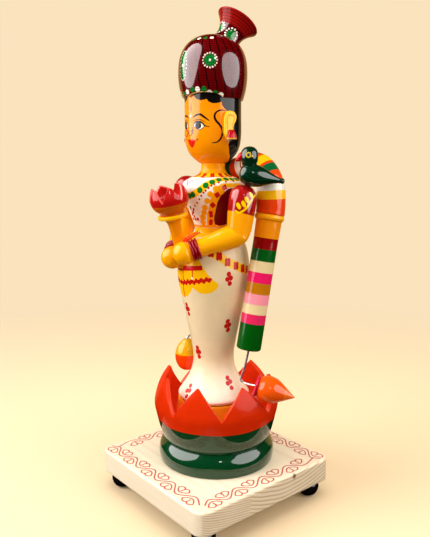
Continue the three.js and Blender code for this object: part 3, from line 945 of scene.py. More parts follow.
def vine(points, side):
    """The painted border: a wave on each side, and an eye in each of its hollows.

    The field is the least distance to their lines, less half a line's width. Every other eye is
    turned about.
    """
    field = np.full(points.shape[:2], FAR)
    half = side / 2
    for turn, (near, far) in enumerate(WAVES):
        a = turn * math.pi / 2
        back = np.array([[math.cos(a), math.sin(a)], [-math.sin(a), math.cos(a)]])
        flat = points[..., :2] @ back.T + half
        marks = sorted([(u, WAVE_NEAR) for u in near] + [(u, WAVE_FAR) for u in far])
        start = (marks[0][0] - WAVE_LEAD, WAVE_MIDDLE)
        wave = through([start, *marks, WAVE_TIP], WAVE_POINTS)
        lines = [line_field(flat, wave, np.full(len(wave), WAVE_HALF))]
        eyes = [(u, 1, EYE_FROM_NEAR) for u in near] + [(u, -1, EYE_FROM_FAR) for u in far]
        for u, sign, d in eyes:
            for line, width in EYE_LINES:
                path = through(np.array(line, float), 24) * [EYE_SQUEEZE, sign] + [u, d]
                lines.append(line_field(flat, path, np.full(len(path), width)))
            up = flat[..., 1] - d - sign * EYE_DOT_IN
            lines.append(np.hypot(flat[..., 0] - u, up) - EYE_DOT)
        field = np.minimum(field, np.minimum.reduce(lines))
    return np.where(points[..., 2] > PLINTH_TOP - 0.2, field, FAR)


class DOLL_OT_plinth(bpy.types.Operator):
    """Add the pine board and its four ball feet"""

    bl_idname = "doll.plinth"
    bl_label = "Plinth"

    def execute(self, context):
        sizes = context.scene.doll_sizes
        board = plinth_board(sizes.plinth_side / MM, sizes.plinth_edge / MM)
        make_piece("plinth_board", board, pine("planed_pine"))
        black = lacquer("black_lacquer", colour_of("black"))
        for end, y in (("front", -1), ("back", 1)):
            for hand, x in (("left", 1), ("right", -1)):
                foot = turned(FOOT, 64, 0.8, start=(x * FOOT_OFF, y * FOOT_OFF, 0))
                make_piece(f"foot_{end}_{hand}", foot, black)
        return {"FINISHED"}


# ---------------------------------------------------------------- seat

SEAT_AT = (1.2, 1.5, 0)
BASE_RING = [(43.2, 31.2), (44, 36.3), (43.7, 40.3), (42.4, 43.8), (39.6, 47.5)]
SEAT_OUT = [(39.8, 47.6), (42.1, 53), (45.5, 66), (47, 74), (46.2, 81), (43.8, 89.5), (40.4, 96.6)]
SEAT_IN = [(37.8, 96.6), (40.2, 89.5), (42.6, 81), (43.4, 73), (41, 66), (36.4, 59.7)]
SEAT_CUTS = [
    (180, 74, 18.5, 18.5),
    (232, 74, 15.5, 15.5),
    (279, 74, 14.8, 14.8),
    (325, 74.5, 15.5, 15.5),
    (14, 74, 17.8, 17.8),
    (69, 74, 18.3, 18.3),
    (124, 74, 18.6, 18.6),
]
SEAT_FOOT = 64.8  # height up to which the seat is green
PLUG = [(29, 59.8), (27.5, 72), (26.9, 78)]


class DOLL_OT_seat(bpy.types.Operator):
    """Add the green ring, the lotus seat and the block that the skirt stands on"""

    bl_idname = "doll.seat"
    bl_label = "Lotus seat"

    def execute(self, context):
        ring = turned(BASE_RING, 200, 0.8, start=SEAT_AT, ease=0.5)
        green = lacquer("dark_green_lacquer", colour_of("deep_green"), streaks=0.8)
        make_piece("base_ring", ring, green)

        seat = petalled(SEAT_OUT, SEAT_IN, SEAT_CUTS, 420, SEAT_AT)
        angle = seat.angle
        sway = 0.5 * np.sin(np.radians(angle * 2 + 40)) + 0.3 * np.sin(np.radians(angle * 5))
        outside = seat.fields["inside"] > 0
        seat.fields["foot"] = np.where(outside, seat.height - SEAT_FOOT - sway, FAR)
        # The inside of the cup is a brighter orange than the outside: painted light against the
        # shade that falls in the cup.
        paints = [
            ("foot", linear(4, 60, 27)),
            ("inside", linear(246, 66, 24)),
            ("cut", colour_of("cut")),
        ]
        look = {"streaks": 1.6, "patchy": 0.9, "dull": 0.9, "glossy": ("foot",)}
        orange = lacquer("orange_lacquer", colour_of("orange"), paints, **look)
        make_piece("lotus_seat", seat, orange)

        amber = lacquer("seat_amber_lacquer", linear(240, 150, 30), dull=0.6)
        make_piece("seat_plug", turned(PLUG, 120, 1.0), amber)
        return {"FINISHED"}


# ---------------------------------------------------------------- body and its painted dress

BODY = [
    (24.4, 78.1), (26.9, 80.8), (24.6, 85.2), (19.6, 93), (16.3, 101), (15.2, 109), (16.6, 120.5),
    (19.8, 136.5), (23.4, 155), (26.4, 171), (25.8, 185.5), (22.5, 196.4), (17.4, 201.4),
    (13.3, 203), (13.3, 206.6), (17.3, 217.5), (20.6, 226), (22.6, 233.5), (21.4, 239),
    (16.8, 242.2), (11.5, 244.4), (8.7, 248), (8.7, 252.5),
]
SHAWL = [
    (222, 177), (222, 172), (226, 164), (230, 158.5), (242.6, 156.7), (259.7, 156.5),
    (270.7, 158.1), (280, 161.6), (285.2, 165.3), (286.5, 164.9), (290.9, 163.3), (298.7, 161.3),
    (308.2, 161.2), (316.5, 162), (324.6, 164.3), (328.5, 166.8), (327.6, 169), (319.9, 171.6),
    (315.4, 173.7), (309.2, 177.5), (302.7, 181.6), (299.4, 184.7), (297.3, 186.7),
    (290.4, 190.7), (284, 195), (282, 203), (238, 203), (236, 193), (228, 184),
]
SHAWL_BAND_1 = [(265.4, 180.2), (302.7, 181.6), (304.4, 178.3), (265.7, 176.6)]
SHAWL_BAND_2 = [
    (224, 171), (235.8, 169.7), (252.9, 168), (264, 167.7), (277.6, 168.9), (288, 169.5),
    (297, 170.4), (305.3, 170.9), (316.1, 172),
]
BELT = [
    (286, 193.6), (300, 192.6), (317.4, 190.5), (330.1, 188), (343.6, 183.8), (358.5, 180.8),
    (18.6, 177.1), (40, 176), (70, 177), (110, 180), (150, 184), (190, 188), (226, 190.5),
    (240, 190.5),
]
BELT_SQUARES = [
    (290, 193.4), (303, 192.2), (317.4, 190.5), (330.1, 188), (343.6, 183.8), (358.5, 180.8),
    (13, 178.2), (27, 176.7), (42, 176.2), (57, 176.5), (73, 177.3), (89, 178.4), (105, 179.7),
    (121, 181.1), (137, 182.7), (153, 184.4), (169, 186), (185, 187.6), (201, 188.8),
    (217, 189.9),
]
DIAMONDS = [
    (261, 147.3), (352, 136.3), (274.1, 114.8), (268.4, 86.3), (356.3, 92.9), (345.4, 171.9),
    (60, 150), (95, 120), (55, 105), (130, 165), (150, 135), (180, 110), (205, 150), (120, 95),
    (165, 90), (215, 92), (90, 166), (200, 172), (40, 166),
]
# The four dots of a diamond, in mm: across, up.
DIAMOND = [(-0.4, 3.5), (-1.35, -0.1), (1.35, 0.6), (0.6, -3.3)]
GREEN_DOTS = [
    (270.8, 229.6), (280.6, 230.5), (296.2, 233.8), (307, 237.1), (318.7, 239.5), (332.9, 240.9),
    (349.6, 241.3), (4.8, 241.1), (20, 241), (36, 241), (52, 241), (68, 241), (84, 241),
]
GREEN_BAND = [(265, 229), *GREEN_DOTS[1:8], (40, 241), (85, 241)]
CHAIN = [
    (265, 217.4), (267.3, 217.9), (269.3, 220), (279, 222.7), (286.6, 224.8), (293.1, 227.4),
    (298.4, 229.9), (303.1, 231.9), (307.4, 233.4), (312.4, 235.3), (317.5, 236.8),
    (322.6, 237.8), (330.7, 239), (345.8, 239.6), (3.5, 239.8),
]
THREAD = [
    (263.3, 237.1), (269.3, 239.5), (280.4, 240.9), (289, 241.9), (304, 242.4), (319.6, 242.6),
    (336.2, 242.9), (3.7, 243.2), (85, 243.2),
]
AMBER_DOTS = [
    (325.4, 234.7), (315.5, 230.9), (308.8, 226.2), (302.7, 221.6), (298.8, 218), (293.3, 214.4),
    (291.3, 210.7),
]
ARMHOLE = [
    (11.4, 234.9), (359.9, 235.2), (347.5, 234.6), (340.3, 232.1), (333.7, 229.5), (329.4, 226.1),
    (326.9, 221.7), (323.9, 216.3), (322.5, 212.7), (325.3, 209.5), (337.7, 208.4),
    (354.7, 208.9), (20, 209.5), (38, 213), (45, 222), (38, 230), (24, 234),
]
ARMHOLE_STRIP = [
    (332.5, 235.4), (338, 236.8), (348.3, 236.9), (3.2, 236.9), (12, 236.8), (30, 235.8),
    (44, 231.4), (51, 223), (48, 212),
]
SIDE_FIELD = [
    (331, 237), (342, 233), (335, 223), (330, 213), (330, 208.8), (303, 208.8), (306, 216),
    (312, 223), (318, 230),
]
RED_SQUARES = [(340.8, 235.6, 20), (327.8, 230.4, 35), (319.6, 223.4, 40)]
RED_BLOBS = [(315, 217.9, 1.5), (315.8, 215.8, 1.5), (314.6, 211.8, 1.5), (313.6, 210, 1.4)]
WAIST_RAYS = [(228, 199), (238, 201.2), (249, 202.6), (261, 203.2), (273, 202.8)]
TASSEL = [(273, 220.5), (264.6, 217.6), (254.7, 215.7)]
TASSEL_DOTS = [(264.7, 214.9, 1.1), (266, 212.7, 1.2), (254.2, 212.9, 1.3), (276, 212.9, 1.3)]
# Thin red lines of the shawl, with their half-widths.
SHAWL_LINES = [
    ([(264, 177), (250, 176.8), (224, 178)], 0.7),
    (SHAWL_BAND_2, 1.15),
    ([(265.7, 176.6), (265.6, 170.1)], 0.4),
    ([(262.4, 165.7), (259.4, 156.8)], 0.5),
    ([(286.3, 177.6), (286.7, 172.7)], 0.4),
]
FRINGE_TICKS, FRINGE_UP = np.arange(226, 317, 4.2), 1.3
# The bars of the belt in pairs: degrees to either side of a mark, mm up and down, and lean.
BAR_OFF, BAR_UP, BAR_LEAN = 2.4, 1.9, 0.8
RAYS_FROM, RAYS_AZIMUTH = 197.2, 250
COLLAR_SQUARES = [(290.6 + 27.7 * k, 243.9) for k in range(-5, 7)]
LEAF = [(238.6, 139), (236, 137), (234.8, 134.5)]
# Bands right round: height and half-width.
WAIST, UNDER_BUST, COLLAR = (203.8, 3.1), (207.9, 0.8), (244.2, 1.6)
NECK = 245.5  # height from which the body is the colour of skin
# Below CREAM_AT the skirt's ground is paler than the cream, fading over CREAM_OVER mm: painted
# light on its upturned flare.
CREAM_AT, CREAM_OVER, BLOUSE_AT = 98.0, 22.0, 205.0  # where the ground of the dress changes


def painted_body(step):
    """The turned body with the distances to each colour of the dress."""
    body = turned(BODY, 280, step, sharp=(13, 14), ease=0.45)
    diamonds = []
    for a, h in DIAMONDS:
        reach = radius_at(body.wall, h)
        diamonds += [(a + math.degrees(across / reach), h + up) for across, up in DIAMOND]
    heights = np.interp(FRINGE_TICKS, *np.transpose(SHAWL_BAND_2))
    fringe = [
        (a, h + FRINGE_UP * (-1) ** k) for k, (a, h) in enumerate(zip(FRINGE_TICKS, heights))
    ]
    bars = [
        [(a + off, h + BAR_UP), (a + off - BAR_LEAN, h - BAR_UP)]
        for a, h in BELT_SQUARES
        for off in (-BAR_OFF, BAR_OFF)
    ]
    rays = [[((a + RAYS_AZIMUTH) / 2, RAYS_FROM), (a, h)] for a, h in WAIST_RAYS]
    body.paint(
        "yellow",
        body.patch(SHAWL),
        body.band(*WAIST),
        body.band(*COLLAR),
        *pair(GREEN_BAND, body.stroke, width=2.45),
        *pair(ARMHOLE_STRIP, body.stroke, width=1.6),
    )
    body.paint("lemon", body.stroke(BELT, 3.1))
    body.paint(
        "amber",
        body.band(*UNDER_BUST),
        NECK - body.height,
        *pair(SIDE_FIELD, body.patch),
        *pair(AMBER_DOTS, body.dots, radius=2.2),
    )
    body.paint("armhole", *pair(ARMHOLE, body.patch))
    body.paint(
        "red",
        body.patch(SHAWL_BAND_1),
        body.dots(fringe, 1.05),
        body.dots(diamonds, 1.8),
        body.squares(COLLAR_SQUARES, 2.9),
        body.stroke(TASSEL, 0.6),
        body.dots(TASSEL_DOTS),
        *(body.stroke(marks, width) for marks, width in SHAWL_LINES),
        *(body.stroke(bar, 1.05, straight=True) for bar in bars),
        *(body.stroke(ray, 1.25, straight=True) for ray in rays),
        *pair(THREAD, body.stroke, width=0.35),
        *pair(CHAIN, body.dots, radius=0.85),
        *pair(RED_SQUARES, body.squares, side=3.4),
        *pair(RED_BLOBS, body.dots),
    )
    body.paint(
        "green",
        body.stroke(LEAF, 1.1, ends=0.3),
        body.dots([(261.5, 221.4, 1.2)]),
        *pair(GREEN_DOTS, body.dots, radius=2.15),
    )
    body.paint("white", body.dots([(285.6, 172, 0.9)]))
    return body


class DOLL_OT_body(bpy.types.Operator):
    """Add the skirt, waist, blouse and neck, turned in one, with the painted dress"""

    bl_idname = "doll.body"
    bl_label = "Body"

    def execute(self, context):
        body = painted_body(context.scene.doll_sizes.fineness / MM)
        order = ("yellow", "lemon", "amber", "armhole", "red", "green", "white")
        paints = [(key, colour_of(key)) for key in order]
        # The paler ground under the cream is painted light on the skirt's flare.
        grounds = [(CREAM_AT, colour_of("cream"), CREAM_OVER), (BLOUSE_AT, colour_of("white"))]
        finish = lacquer("painted_dress", linear(245, 236, 215), paints, grounds, dull=0.8)
        make_piece("body", body, finish)
        return {"FINISHED"}


# ---------------------------------------------------------------- head

HEAD = [
    (9.2, 252.4), (13.2, 255.3), (16.8, 259.2), (19, 264), (20.1, 271), (20.1, 287), (20.1, 303),
]
FACE = 270.5  # azimuth that the face is laid out about
BROW = [
    (276.1, 282.9), (282.4, 284.2), (289.8, 285), (295, 285), (301.5, 283.6), (307.7, 282.1),
    (313.8, 280.6),
]
CREASE = [(278.2, 281), (286.1, 281.6), (294.1, 281.6), (299.8, 280.8), (306.9, 278.9)]
EYE_WHITE = [
    (277.6, 277.9), (283.2, 279.9), (289.7, 280.4), (295.7, 280), (300.6, 278.6), (304.5, 277.3),
    (299.7, 275.8), (294.8, 275), (289.6, 275.2), (283.1, 276.5),
]
LID = [
    (277.6, 277.9), (283.2, 279.9), (289.7, 280.5), (295.7, 280.1), (300.6, 278.7),
    (304.5, 277.4), (313.7, 276.6),
]
LOWER_LID = [
    (277.6, 277.9), (283.1, 276.4), (289.6, 275.1), (294.8, 274.9), (299.7, 275.7),
    (304.5, 277.3),
]
IRIS = [(290.3, 277.8, 2.4)]
LIPS = [
    (257.5, 267.8), (263, 268.4), (266.4, 269.1), (270.6, 267.6), (274.8, 269.1), (278.4, 268.4),
    (283.5, 267.4), (278.6, 265), (274.5, 263.4), (270.6, 262.9), (266, 263.4), (261.6, 265.3),
]
CURL = [
    (348, 287.2), (341.6, 287.7), (334.4, 287.6), (326.5, 286), (323.6, 283.4), (326.5, 280.7),
    (333.4, 278.1), (338.4, 275.1), (339.5, 272.5), (336.6, 269.1), (328.7, 266.4),
    (317.5, 265.8),
]
SIDE_LOCK = [
    (336.4, 296.5), (12, 296.5), (12, 287), (1.2, 286.5), (351.4, 286.9), (343.7, 288.8),
    (338.5, 291.1),
]
FRINGE = [
    (272, 304), (274, 299.5), (279.3, 298.5), (281.8, 296.8), (287.9, 295.1), (296.8, 294.3),
    (305.1, 294.7), (308.1, 295.1), (312, 293.3), (318.8, 292.3), (326.5, 292.2), (333.4, 292.7),
    (340, 293.5), (352, 296), (352, 304),
]
BACK_HAIR = [
    (9.9, 304), (9.9, 283), (4, 276), (356, 269), (354, 264.6), (2.1, 259.2), (14, 256.5),
    (24.4, 254.6), (60, 253.4), (90, 253.2),
]
LIP_DOTS = [(288, 268.4, 0.75), (253, 268.8, 0.75)]
LIP_LINES = [[(281, 267.3), (288, 268.4)], [(261, 267.8), (253, 268.8)]]
TILAK = [(271.9, 293.1), (271.7, 287.1)]
NOSE_RING = [(251, 275.2), (245, 273.4), (250, 271.2), (256.1, 271), (260.4, 273), (257, 275)]
NOSE_RING_DOTS = [(251, 275.5), (256.1, 270.8)]
NOSE_DOTS = [
    (276.2, 276.2), (277.4, 274.7), (275.7, 274.7), (276.6, 273.2), (274.6, 272.4),
    (272.2, 271.3), (273.4, 274),
]
NOSE_LINE = [(263.9, 274.6), (264.4, 272.4), (266, 271.2)]
SHINE_TO = 277.0  # height down to which the hair is varnished


def painted_head():
    """The turned head with the distances to the painted face and hair."""
    head = turned(HEAD, 400, 0.34, ease=0.5)
    back = [(a if a < 300 else a - 360, h) for a, h in BACK_HAIR]
    back += [(2 * FACE - 360 - a, h) for a, h in reversed(back)]
    head.paint("eye_white", *pair(EYE_WHITE, head.patch, FACE), head.dots([(270, 284.4, 0.9)]))
    head.paint("brown", *pair(CREASE, head.stroke, FACE, width=0.3, ends=0.3))
    head.paint(
        "black",
        *pair(BROW, head.stroke, FACE, width=0.75, ends=0.25),
        *pair(LID, head.stroke, FACE, width=0.5, ends=0.4),
        *pair(LOWER_LID, head.stroke, FACE, width=0.22),
        *pair(IRIS, head.dots, FACE),
        *pair(CURL, head.stroke, FACE, width=0.8, ends=0.2),
    )
    head.paint(
        "hair",
        *pair(SIDE_LOCK, head.patch, FACE),
        *pair(FRINGE, head.patch, FACE),
        head.patch(back),
    )
    head.fields["shine"] = np.maximum(head.fields["hair"], SHINE_TO - head.height)
    head.paint("tilak", head.stroke(TILAK, 0.5, ends=0.5))
    head.paint(
        "red",
        head.patch(LIPS),
        head.dots(LIP_DOTS),
        *(head.stroke(line, 0.35) for line in LIP_LINES),
        head.stroke(NOSE_RING, 0.55, closed=True),
        head.dots(NOSE_RING_DOTS, 0.5),
    )
    head.paint("grey", head.dots(NOSE_DOTS, 0.62), head.stroke(NOSE_LINE, 0.35))
    return head


class DOLL_OT_head(bpy.types.Operator):
    """Add the head with its painted face and hair"""

    bl_idname = "doll.head"
    bl_label = "Head"

    def execute(self, context):
        paints = [
            ("eye_white", colour_of("white")),
            ("brown", linear(96, 36, 6)),
            ("black", colour_of("black")),
            ("hair", colour_of("black")),
            ("tilak", linear(206, 30, 70)),
            ("red", linear(216, 30, 18)),
            ("grey", linear(70, 56, 62)),
        ]
        look = {"streaks": 0.35, "wobble": 0.1, "dull": 0.6, "glossy": ("shine",)}
        finish = lacquer("painted_face", linear(250, 148, 0), paints, **look)
        make_piece("head", painted_head(), finish)
        return {"FINISHED"}


# ---------------------------------------------------------------- crown

CROWN = [
    (21.4, 296), (23.5, 304), (24.4, 314), (23.3, 324.6), (20, 331.8), (15.4, 336.4),
    (8.8, 339.5), (0, 340.4),
]
BORE, BORE_TOP = 20.4, 303.3
ARCHES = (237.0, 303.0)  # azimuths of the two arches cut in the brim
ARCH_WIDE, ARCH_HIGH, BRIM = 11.66, 3.4, 296.0
ARCH_REACH = 1.2  # radians to either side that an arch may reach
BRIM_FADE = 308.0  # height above which the rows don't follow the brim
BRIM_EDGE = 0.3  # mm from the brim to the nearest rows of its walls
BORE_ROUND, BRIM_ROUND = 0.15, 0.2  # mm of the brim's width that its two edges take up
KNOT = [(10.1, 16), (8.9, 22), (9.6, 26.5), (11.9, 31), (14.9, 34.6), (15.9, 35.6), (14.9, 36.4)]
KNOT_AT, KNOT_AXIS = (0, 0, 321), (0.15, 0.52, 0.84)
CROWN_ROSETTES, ROSETTE_AT = (316.1, 213.9), 319.6
MEDALLION, MEDALLION_LINE = (262.5, 318), [(262.5, 311), (262.5, 325)]
TOP_DOTS = [(271.8 + 15.65 * k, 335.4) for k in range(23) if k not in (4, 5)]
BRIM_DOTS = [
    (240.5, 301), (258.5, 299.1), (270.1, 300.3), (283.3, 301.4), (293.5, 301.4), (305.4, 301.2),
    (314.7, 298.9), (325.1, 298.6), (335.2, 297.5),
]
KNOT_ROSETTES = ((332, 21.5), (258, 23.5), (150, 22))
FLARE = 27.4  # height on the knot from which it is the flare's red, unstriped and lighter than the maroon; the lighter tone is a painted reflection


def stripes_of(shape, first, pitch, slope, zero, half):
    """Wavy stripes up a turned piece, as the distance to the nearest one's middle line.

    The lines are pitch degrees apart from the first, and lean by slope degrees a mm up from the
    height zero.
    """
    sway = 0.5 * np.sin(shape.height * 0.8)
    line = shape.angle - slope * (zero - shape.height) - first + sway
    off = (line + pitch / 2) % pitch - pitch / 2
    return np.radians(np.abs(off)) * shape.radius - half


def crown_cap():
    """The crown, a cap whose brim rises in two half ellipses.

    brim = lowest + high sqrt(1 - (across / wide)^2). The rows go over the bore's ceiling and
    down its wall to the brim, then up the outside to the top.
    """
    line = fine_line(CROWN, ease=0.5)
    angles = np.arange(300) * 1.2
    brim = np.full(len(angles), BRIM)
    for arch in ARCHES:
        off = np.radians(off_by(angles, arch))
        across = np.where(np.abs(off) < ARCH_REACH, BORE * np.sin(off), 2 * ARCH_WIDE)
        rise = np.sqrt(np.clip(1 - (across / ARCH_WIDE) ** 2, 0, 1))
        brim = np.maximum(brim, BRIM + ARCH_HIGH * rise)
    rows = rows_of(line, 0.55)
    radius, height = stretched(rows, line, BRIM_FADE, BRIM, brim + BRIM_EDGE)
    middle, bore, ceiling = (value + 0 * brim for value in (0, BORE, BORE_TOP))
    edge = radius_at(line, brim)
    radius = np.vstack([middle, bore, bore, bore + BORE_ROUND, edge - BRIM_ROUND, radius])
    height = np.vstack([ceiling, ceiling, brim + BRIM_EDGE, brim, brim, height])
    cap = Turned(radius, height, angles, (0, 0, 0), (0, 0, 1), line)
    cap.fields["edge"] = np.where(brim > BRIM + 0.2, cap.height - brim - 0.5, FAR)
    cap.fields["edge"][:2] = FAR
    return cap


def painted_crown():
    """The crown with its stripes, rosettes, medallion and two rows of dots."""
    cap = crown_cap()
    cap.paint("stripe", stripes_of(cap, 317.5, 360 / 26, 0.45, 325.0, 0.5))
    rosettes = [(angle, ROSETTE_AT) for angle in CROWN_ROSETTES]
    far = [(2 * FRONT - a, h) for a, h in BRIM_DOTS if a > 300]
    brim = BRIM_DOTS + far + [(229, 301.2), (218, 300.8)]
    cap.paint(
        "green",
        cap.dots(rosettes, 3.85),
        cap.stroke(MEDALLION_LINE, 2.9, ends=0.75),
        cap.dots(TOP_DOTS[0::2], 1.5),
        cap.dots(brim[1::2], 1.85),
    )
    cap.paint(
        "white",
        *(cap.wreath(*at, 4.8, 4.8, 16, 0.62) for at in rosettes),
        cap.dots(rosettes, 0.8),
        cap.wreath(*MEDALLION, 4.4, 9.7, 24, 0.5),
        cap.dots([MEDALLION], 1.0),
        cap.dots(TOP_DOTS[1::2], 1.4),
        cap.dots(brim[0::2], 1.8),
    )
    return cap


def painted_knot():
    """The flared knot on the crown, with stripes and three rosettes round its neck."""
    knot = turned(KNOT, 180, 0.5, sharp=(5,), ease=0.35, start=KNOT_AT, axis=KNOT_AXIS)
    knot.paint("stripe", stripes_of(knot, 12, 360 / 20, 0.6, 25.0, 0.4))
    knot.paint("green", knot.dots(KNOT_ROSETTES, 3.3))
    knot.paint("white", *(knot.wreath(*at, 4.3, 4.3, 13, 0.72) for at in KNOT_ROSETTES))
    # Above FLARE the knot is an unstriped red, lighter than the maroon: that lighter tone is a
    # painted reflection.
    knot.fields["flare"] = FLARE - knot.height
    knot.fields["trunk"] = knot.height - FLARE
    return knot


class DOLL_OT_crown(bpy.types.Operator):
    """Add the crown and the knot on it"""

    bl_idname = "doll.crown"
    bl_label = "Crown"

    def execute(self, context):
        paints = [
            ("stripe", colour_of("dark")),
            ("edge", linear(236, 190, 120)),
            ("green", colour_of("green")),
            ("white", colour_of("white")),
        ]
        maroon = colour_of("maroon")
        finish = lacquer("painted_crown", maroon, paints, streaks=1.8, rings=0.3)
        make_piece("crown", painted_crown(), finish)
        # The flare's lighter red is partly its own unstriped lacquer and partly a painted
        # reflection.
        trunk, flare = ("trunk", maroon), ("flare", linear(150, 14, 10))
        paints = [trunk, paints[0], flare, *paints[2:]]
        look = {"streaks": 1.6, "dull": 0.95, "glossy": ("trunk",), "rings": 0.4}
        finish = lacquer("painted_knot", maroon, paints, **look)
        make_piece("crown_knot", painted_knot(), finish)
        return {"FINISHED"}


# ---------------------------------------------------------------- ears

EAR_MIDDLE, EAR_WIDE, EAR_HIGH = (-3.2, 277.5), 10.5, 19.5
EAR_IN, EAR_OUT = 17.4, 23.5
# Its outline and its middle, as shares of its width and height.
EAR_CURVES = [
    ((-0.2, -0.5), (0.3, -0.5), (0.15, -0.05), (0.32, 0.05)),
    ((0.32, 0.05), (0.7, 0.3), (0.5, 0.5), (0, 0.5)),
    ((0, 0.5), (-0.5, 0.5), (-0.5, 0.3), (-0.5, 0)),
    ((-0.5, 0), (-0.5, -0.3), (-0.5, -0.5), (-0.2, -0.5)),
]
EAR_CENTRE = np.array([-0.05, 0.1])
EAR_ROOT, EAR_NECK = 0.74, 2.7  # share of the outline at the head, and mm before it widens
EAR_RIM, EAR_FLAT = 1.1, 0.8  # rounding of its edge, and the share of the outline inside that
GROOVE, GROOVE_WIDE, GROOVE_DEEP = 0.6, 0.06, 0.35  # in shares of the outline, and mm
EAR_SHADE, EAR_SHADE_FROM = 1.7, 271.5  # mm of the rim, and the height, where the painted shade at the root and the foot ends
EARRING_AT = (23.6, -3.3, 268)
BELL = [(3.9, 0), (3.9, 1), (3.3, 3.6), (2.3, 5.8), (1, 7)]


def bezier(a, b, c, d, count):
    """A cubic Bezier curve without its last point.

    It is a (1 - t)^3 + 3 b t (1 - t)^2 + 3 c t^2 (1 - t) + d t^3.
    """
    t = (np.arange(count) / count)[:, None]
    a, b, c, d = (np.array(p, float) for p in (a, b, c, d))
    return a * (1 - t) ** 3 + 3 * b * t * (1 - t) ** 2 + 3 * c * t**2 * (1 - t) + d * t**3


def ear(side):
    """A plate cut to an ear's outline, whose rings are the outline shrunk to a middle.

    They go out over the inner face, along the rim and round its edge, and in again over the
    outer face with its groove, deep exp(-((share - middle) / wide)^2).
    """
    size = np.array([EAR_WIDE, EAR_HIGH])
    ring = np.vstack([bezier(*c, 36) for c in EAR_CURVES]) * size
    centre = EAR_CENTRE * size
    thick = EAR_OUT - EAR_IN
    side_end = thick - EAR_RIM
    inner = [(k * EAR_ROOT, 0.0) for k in (0, 0.5, 0.96, 1)]
    slope = (1 - EAR_ROOT) / (side_end - EAR_NECK)
    wall = [
        (EAR_ROOT + slope * max(0, x - EAR_NECK), x) for x in np.linspace(0, side_end, 12)[1:]
    ]
    edge = [
        (1 - (1 - EAR_FLAT) * (1 - np.cos(a)), side_end + EAR_RIM * np.sin(a))
        for a in np.linspace(0, np.pi / 2, 7)[1:]
    ]
    shares = np.linspace(EAR_FLAT, 0, 22)[1:]
    groove = GROOVE_DEEP * np.exp(-(((shares - GROOVE) / GROOVE_WIDE) ** 2))
    profile = np.array(inner + wall + edge + list(zip(shares, thick - groove)))
    share, out = profile[:, :1], profile[:, 1:]
    flat = centre + (ring - centre)[None] * share[..., None]
    y, z = EAR_MIDDLE[0] + flat[..., 0], EAR_MIDDLE[1] + flat[..., 1]
    x = np.broadcast_to(EAR_IN + out, y.shape) * side
    plate = Surface(np.stack([x, y, z], -1)[:, ::side])
    row = np.arange(len(profile))[:, None]
    on_face, on_side = row >= len(inner + wall + edge), row < len(inner + wall)
    # A darker orange along the groove: painted shade in it.
    fold = np.where(on_face, np.abs(share - GROOVE) * 4.5 - 0.12, FAR)
    plate.fields["fold"] = np.broadcast_to(fold, y.shape)
    plate.fields["along"] = z
    # The root by the head and everything below EAR_SHADE_FROM get the head's darker orange:
    # painted shade.
    root = np.where(on_side, out - thick + EAR_SHADE, FAR)
    plate.fields["root"] = np.maximum(root, EAR_SHADE_FROM - z)
    return plate


class DOLL_OT_ears(bpy.types.Operator):
    """Add the ears and their bell earrings"""

    bl_idname = "doll.ears"
    bl_label = "Ears"

    def execute(self, context):
        # fold and root are painted shade: darker orange in the groove, at the root and at the
        # foot.
        paints = [("fold", linear(236, 132, 6)), ("root", linear(250, 148, 0))]
        skin = lacquer("ear_lacquer", linear(255, 200, 8), paints, streaks=0.2, dull=0.6)
        rim = [(0.9, linear(184, 10, 22)), (6.5, linear(232, 190, 90))]
        bell = lacquer("bell_lacquer", linear(226, 170, 60), bands=rim, dull=0.6)
        x, *rest = EARRING_AT
        for hand, side in (("left", 1), ("right", -1)):
            make_piece(f"ear_{hand}", ear(side), skin)
            drop = turned(BELL, 56, 0.3, sharp=(1,), ease=0.2, start=(side * x, *rest))
            make_piece(f"earring_{hand}", drop, bell)
        return {"FINISHED"}


# ---------------------------------------------------------------- arms

SLEEVE, ELBOW, WRIST, BANGLE, HAND = 9.6, 8.4, 5.0, 7.9, 8.2  # radii
ARMS = {
    "left": ((31.6, 0.3, 228.2), (31, -3, 203.5), (9.2, -33.8, 190.7)),
    "right": ((-31.6, 0.3, 234.2), (-31, -3, 207), (-8.6, -30.7, 186)),
}
SCROLL = [
    (293.3, 15.9), (309.7, 14.7), (326.7, 16.5), (340.2, 19.1), (353.2, 23.2), (7.8, 26.4),
    (32.2, 28.1), (46, 27.4), (46, 24.4),
]
SCROLL_LEAVES = [(305.1, 19.4), (324.8, 21), (335.7, 24.1), (355.7, 27.6)]
SLEEVE_FROM = 14.4  # height above the elbow
MITRE_OVER = 0.04  # mm by which the halves of an arm run into each other at the elbow
MITRE_FADE = 11.0  # height above which the rows don't follow the mitre plane
MITRE_RINGS = np.array([0, 0.5, 0.95, 0.995])[:, None]
ELBOW_KEPT, ELBOW_SOFT = 4.5, 3.5  # mm out from the elbow that stay, and that the rest fades over
BANGLES, BANGLES_FROM = 3, 11.2  # how many, and mm from the hand's middle to the first
BANGLE_PITCH, BANGLE_ROUND = 2.1, 0.45


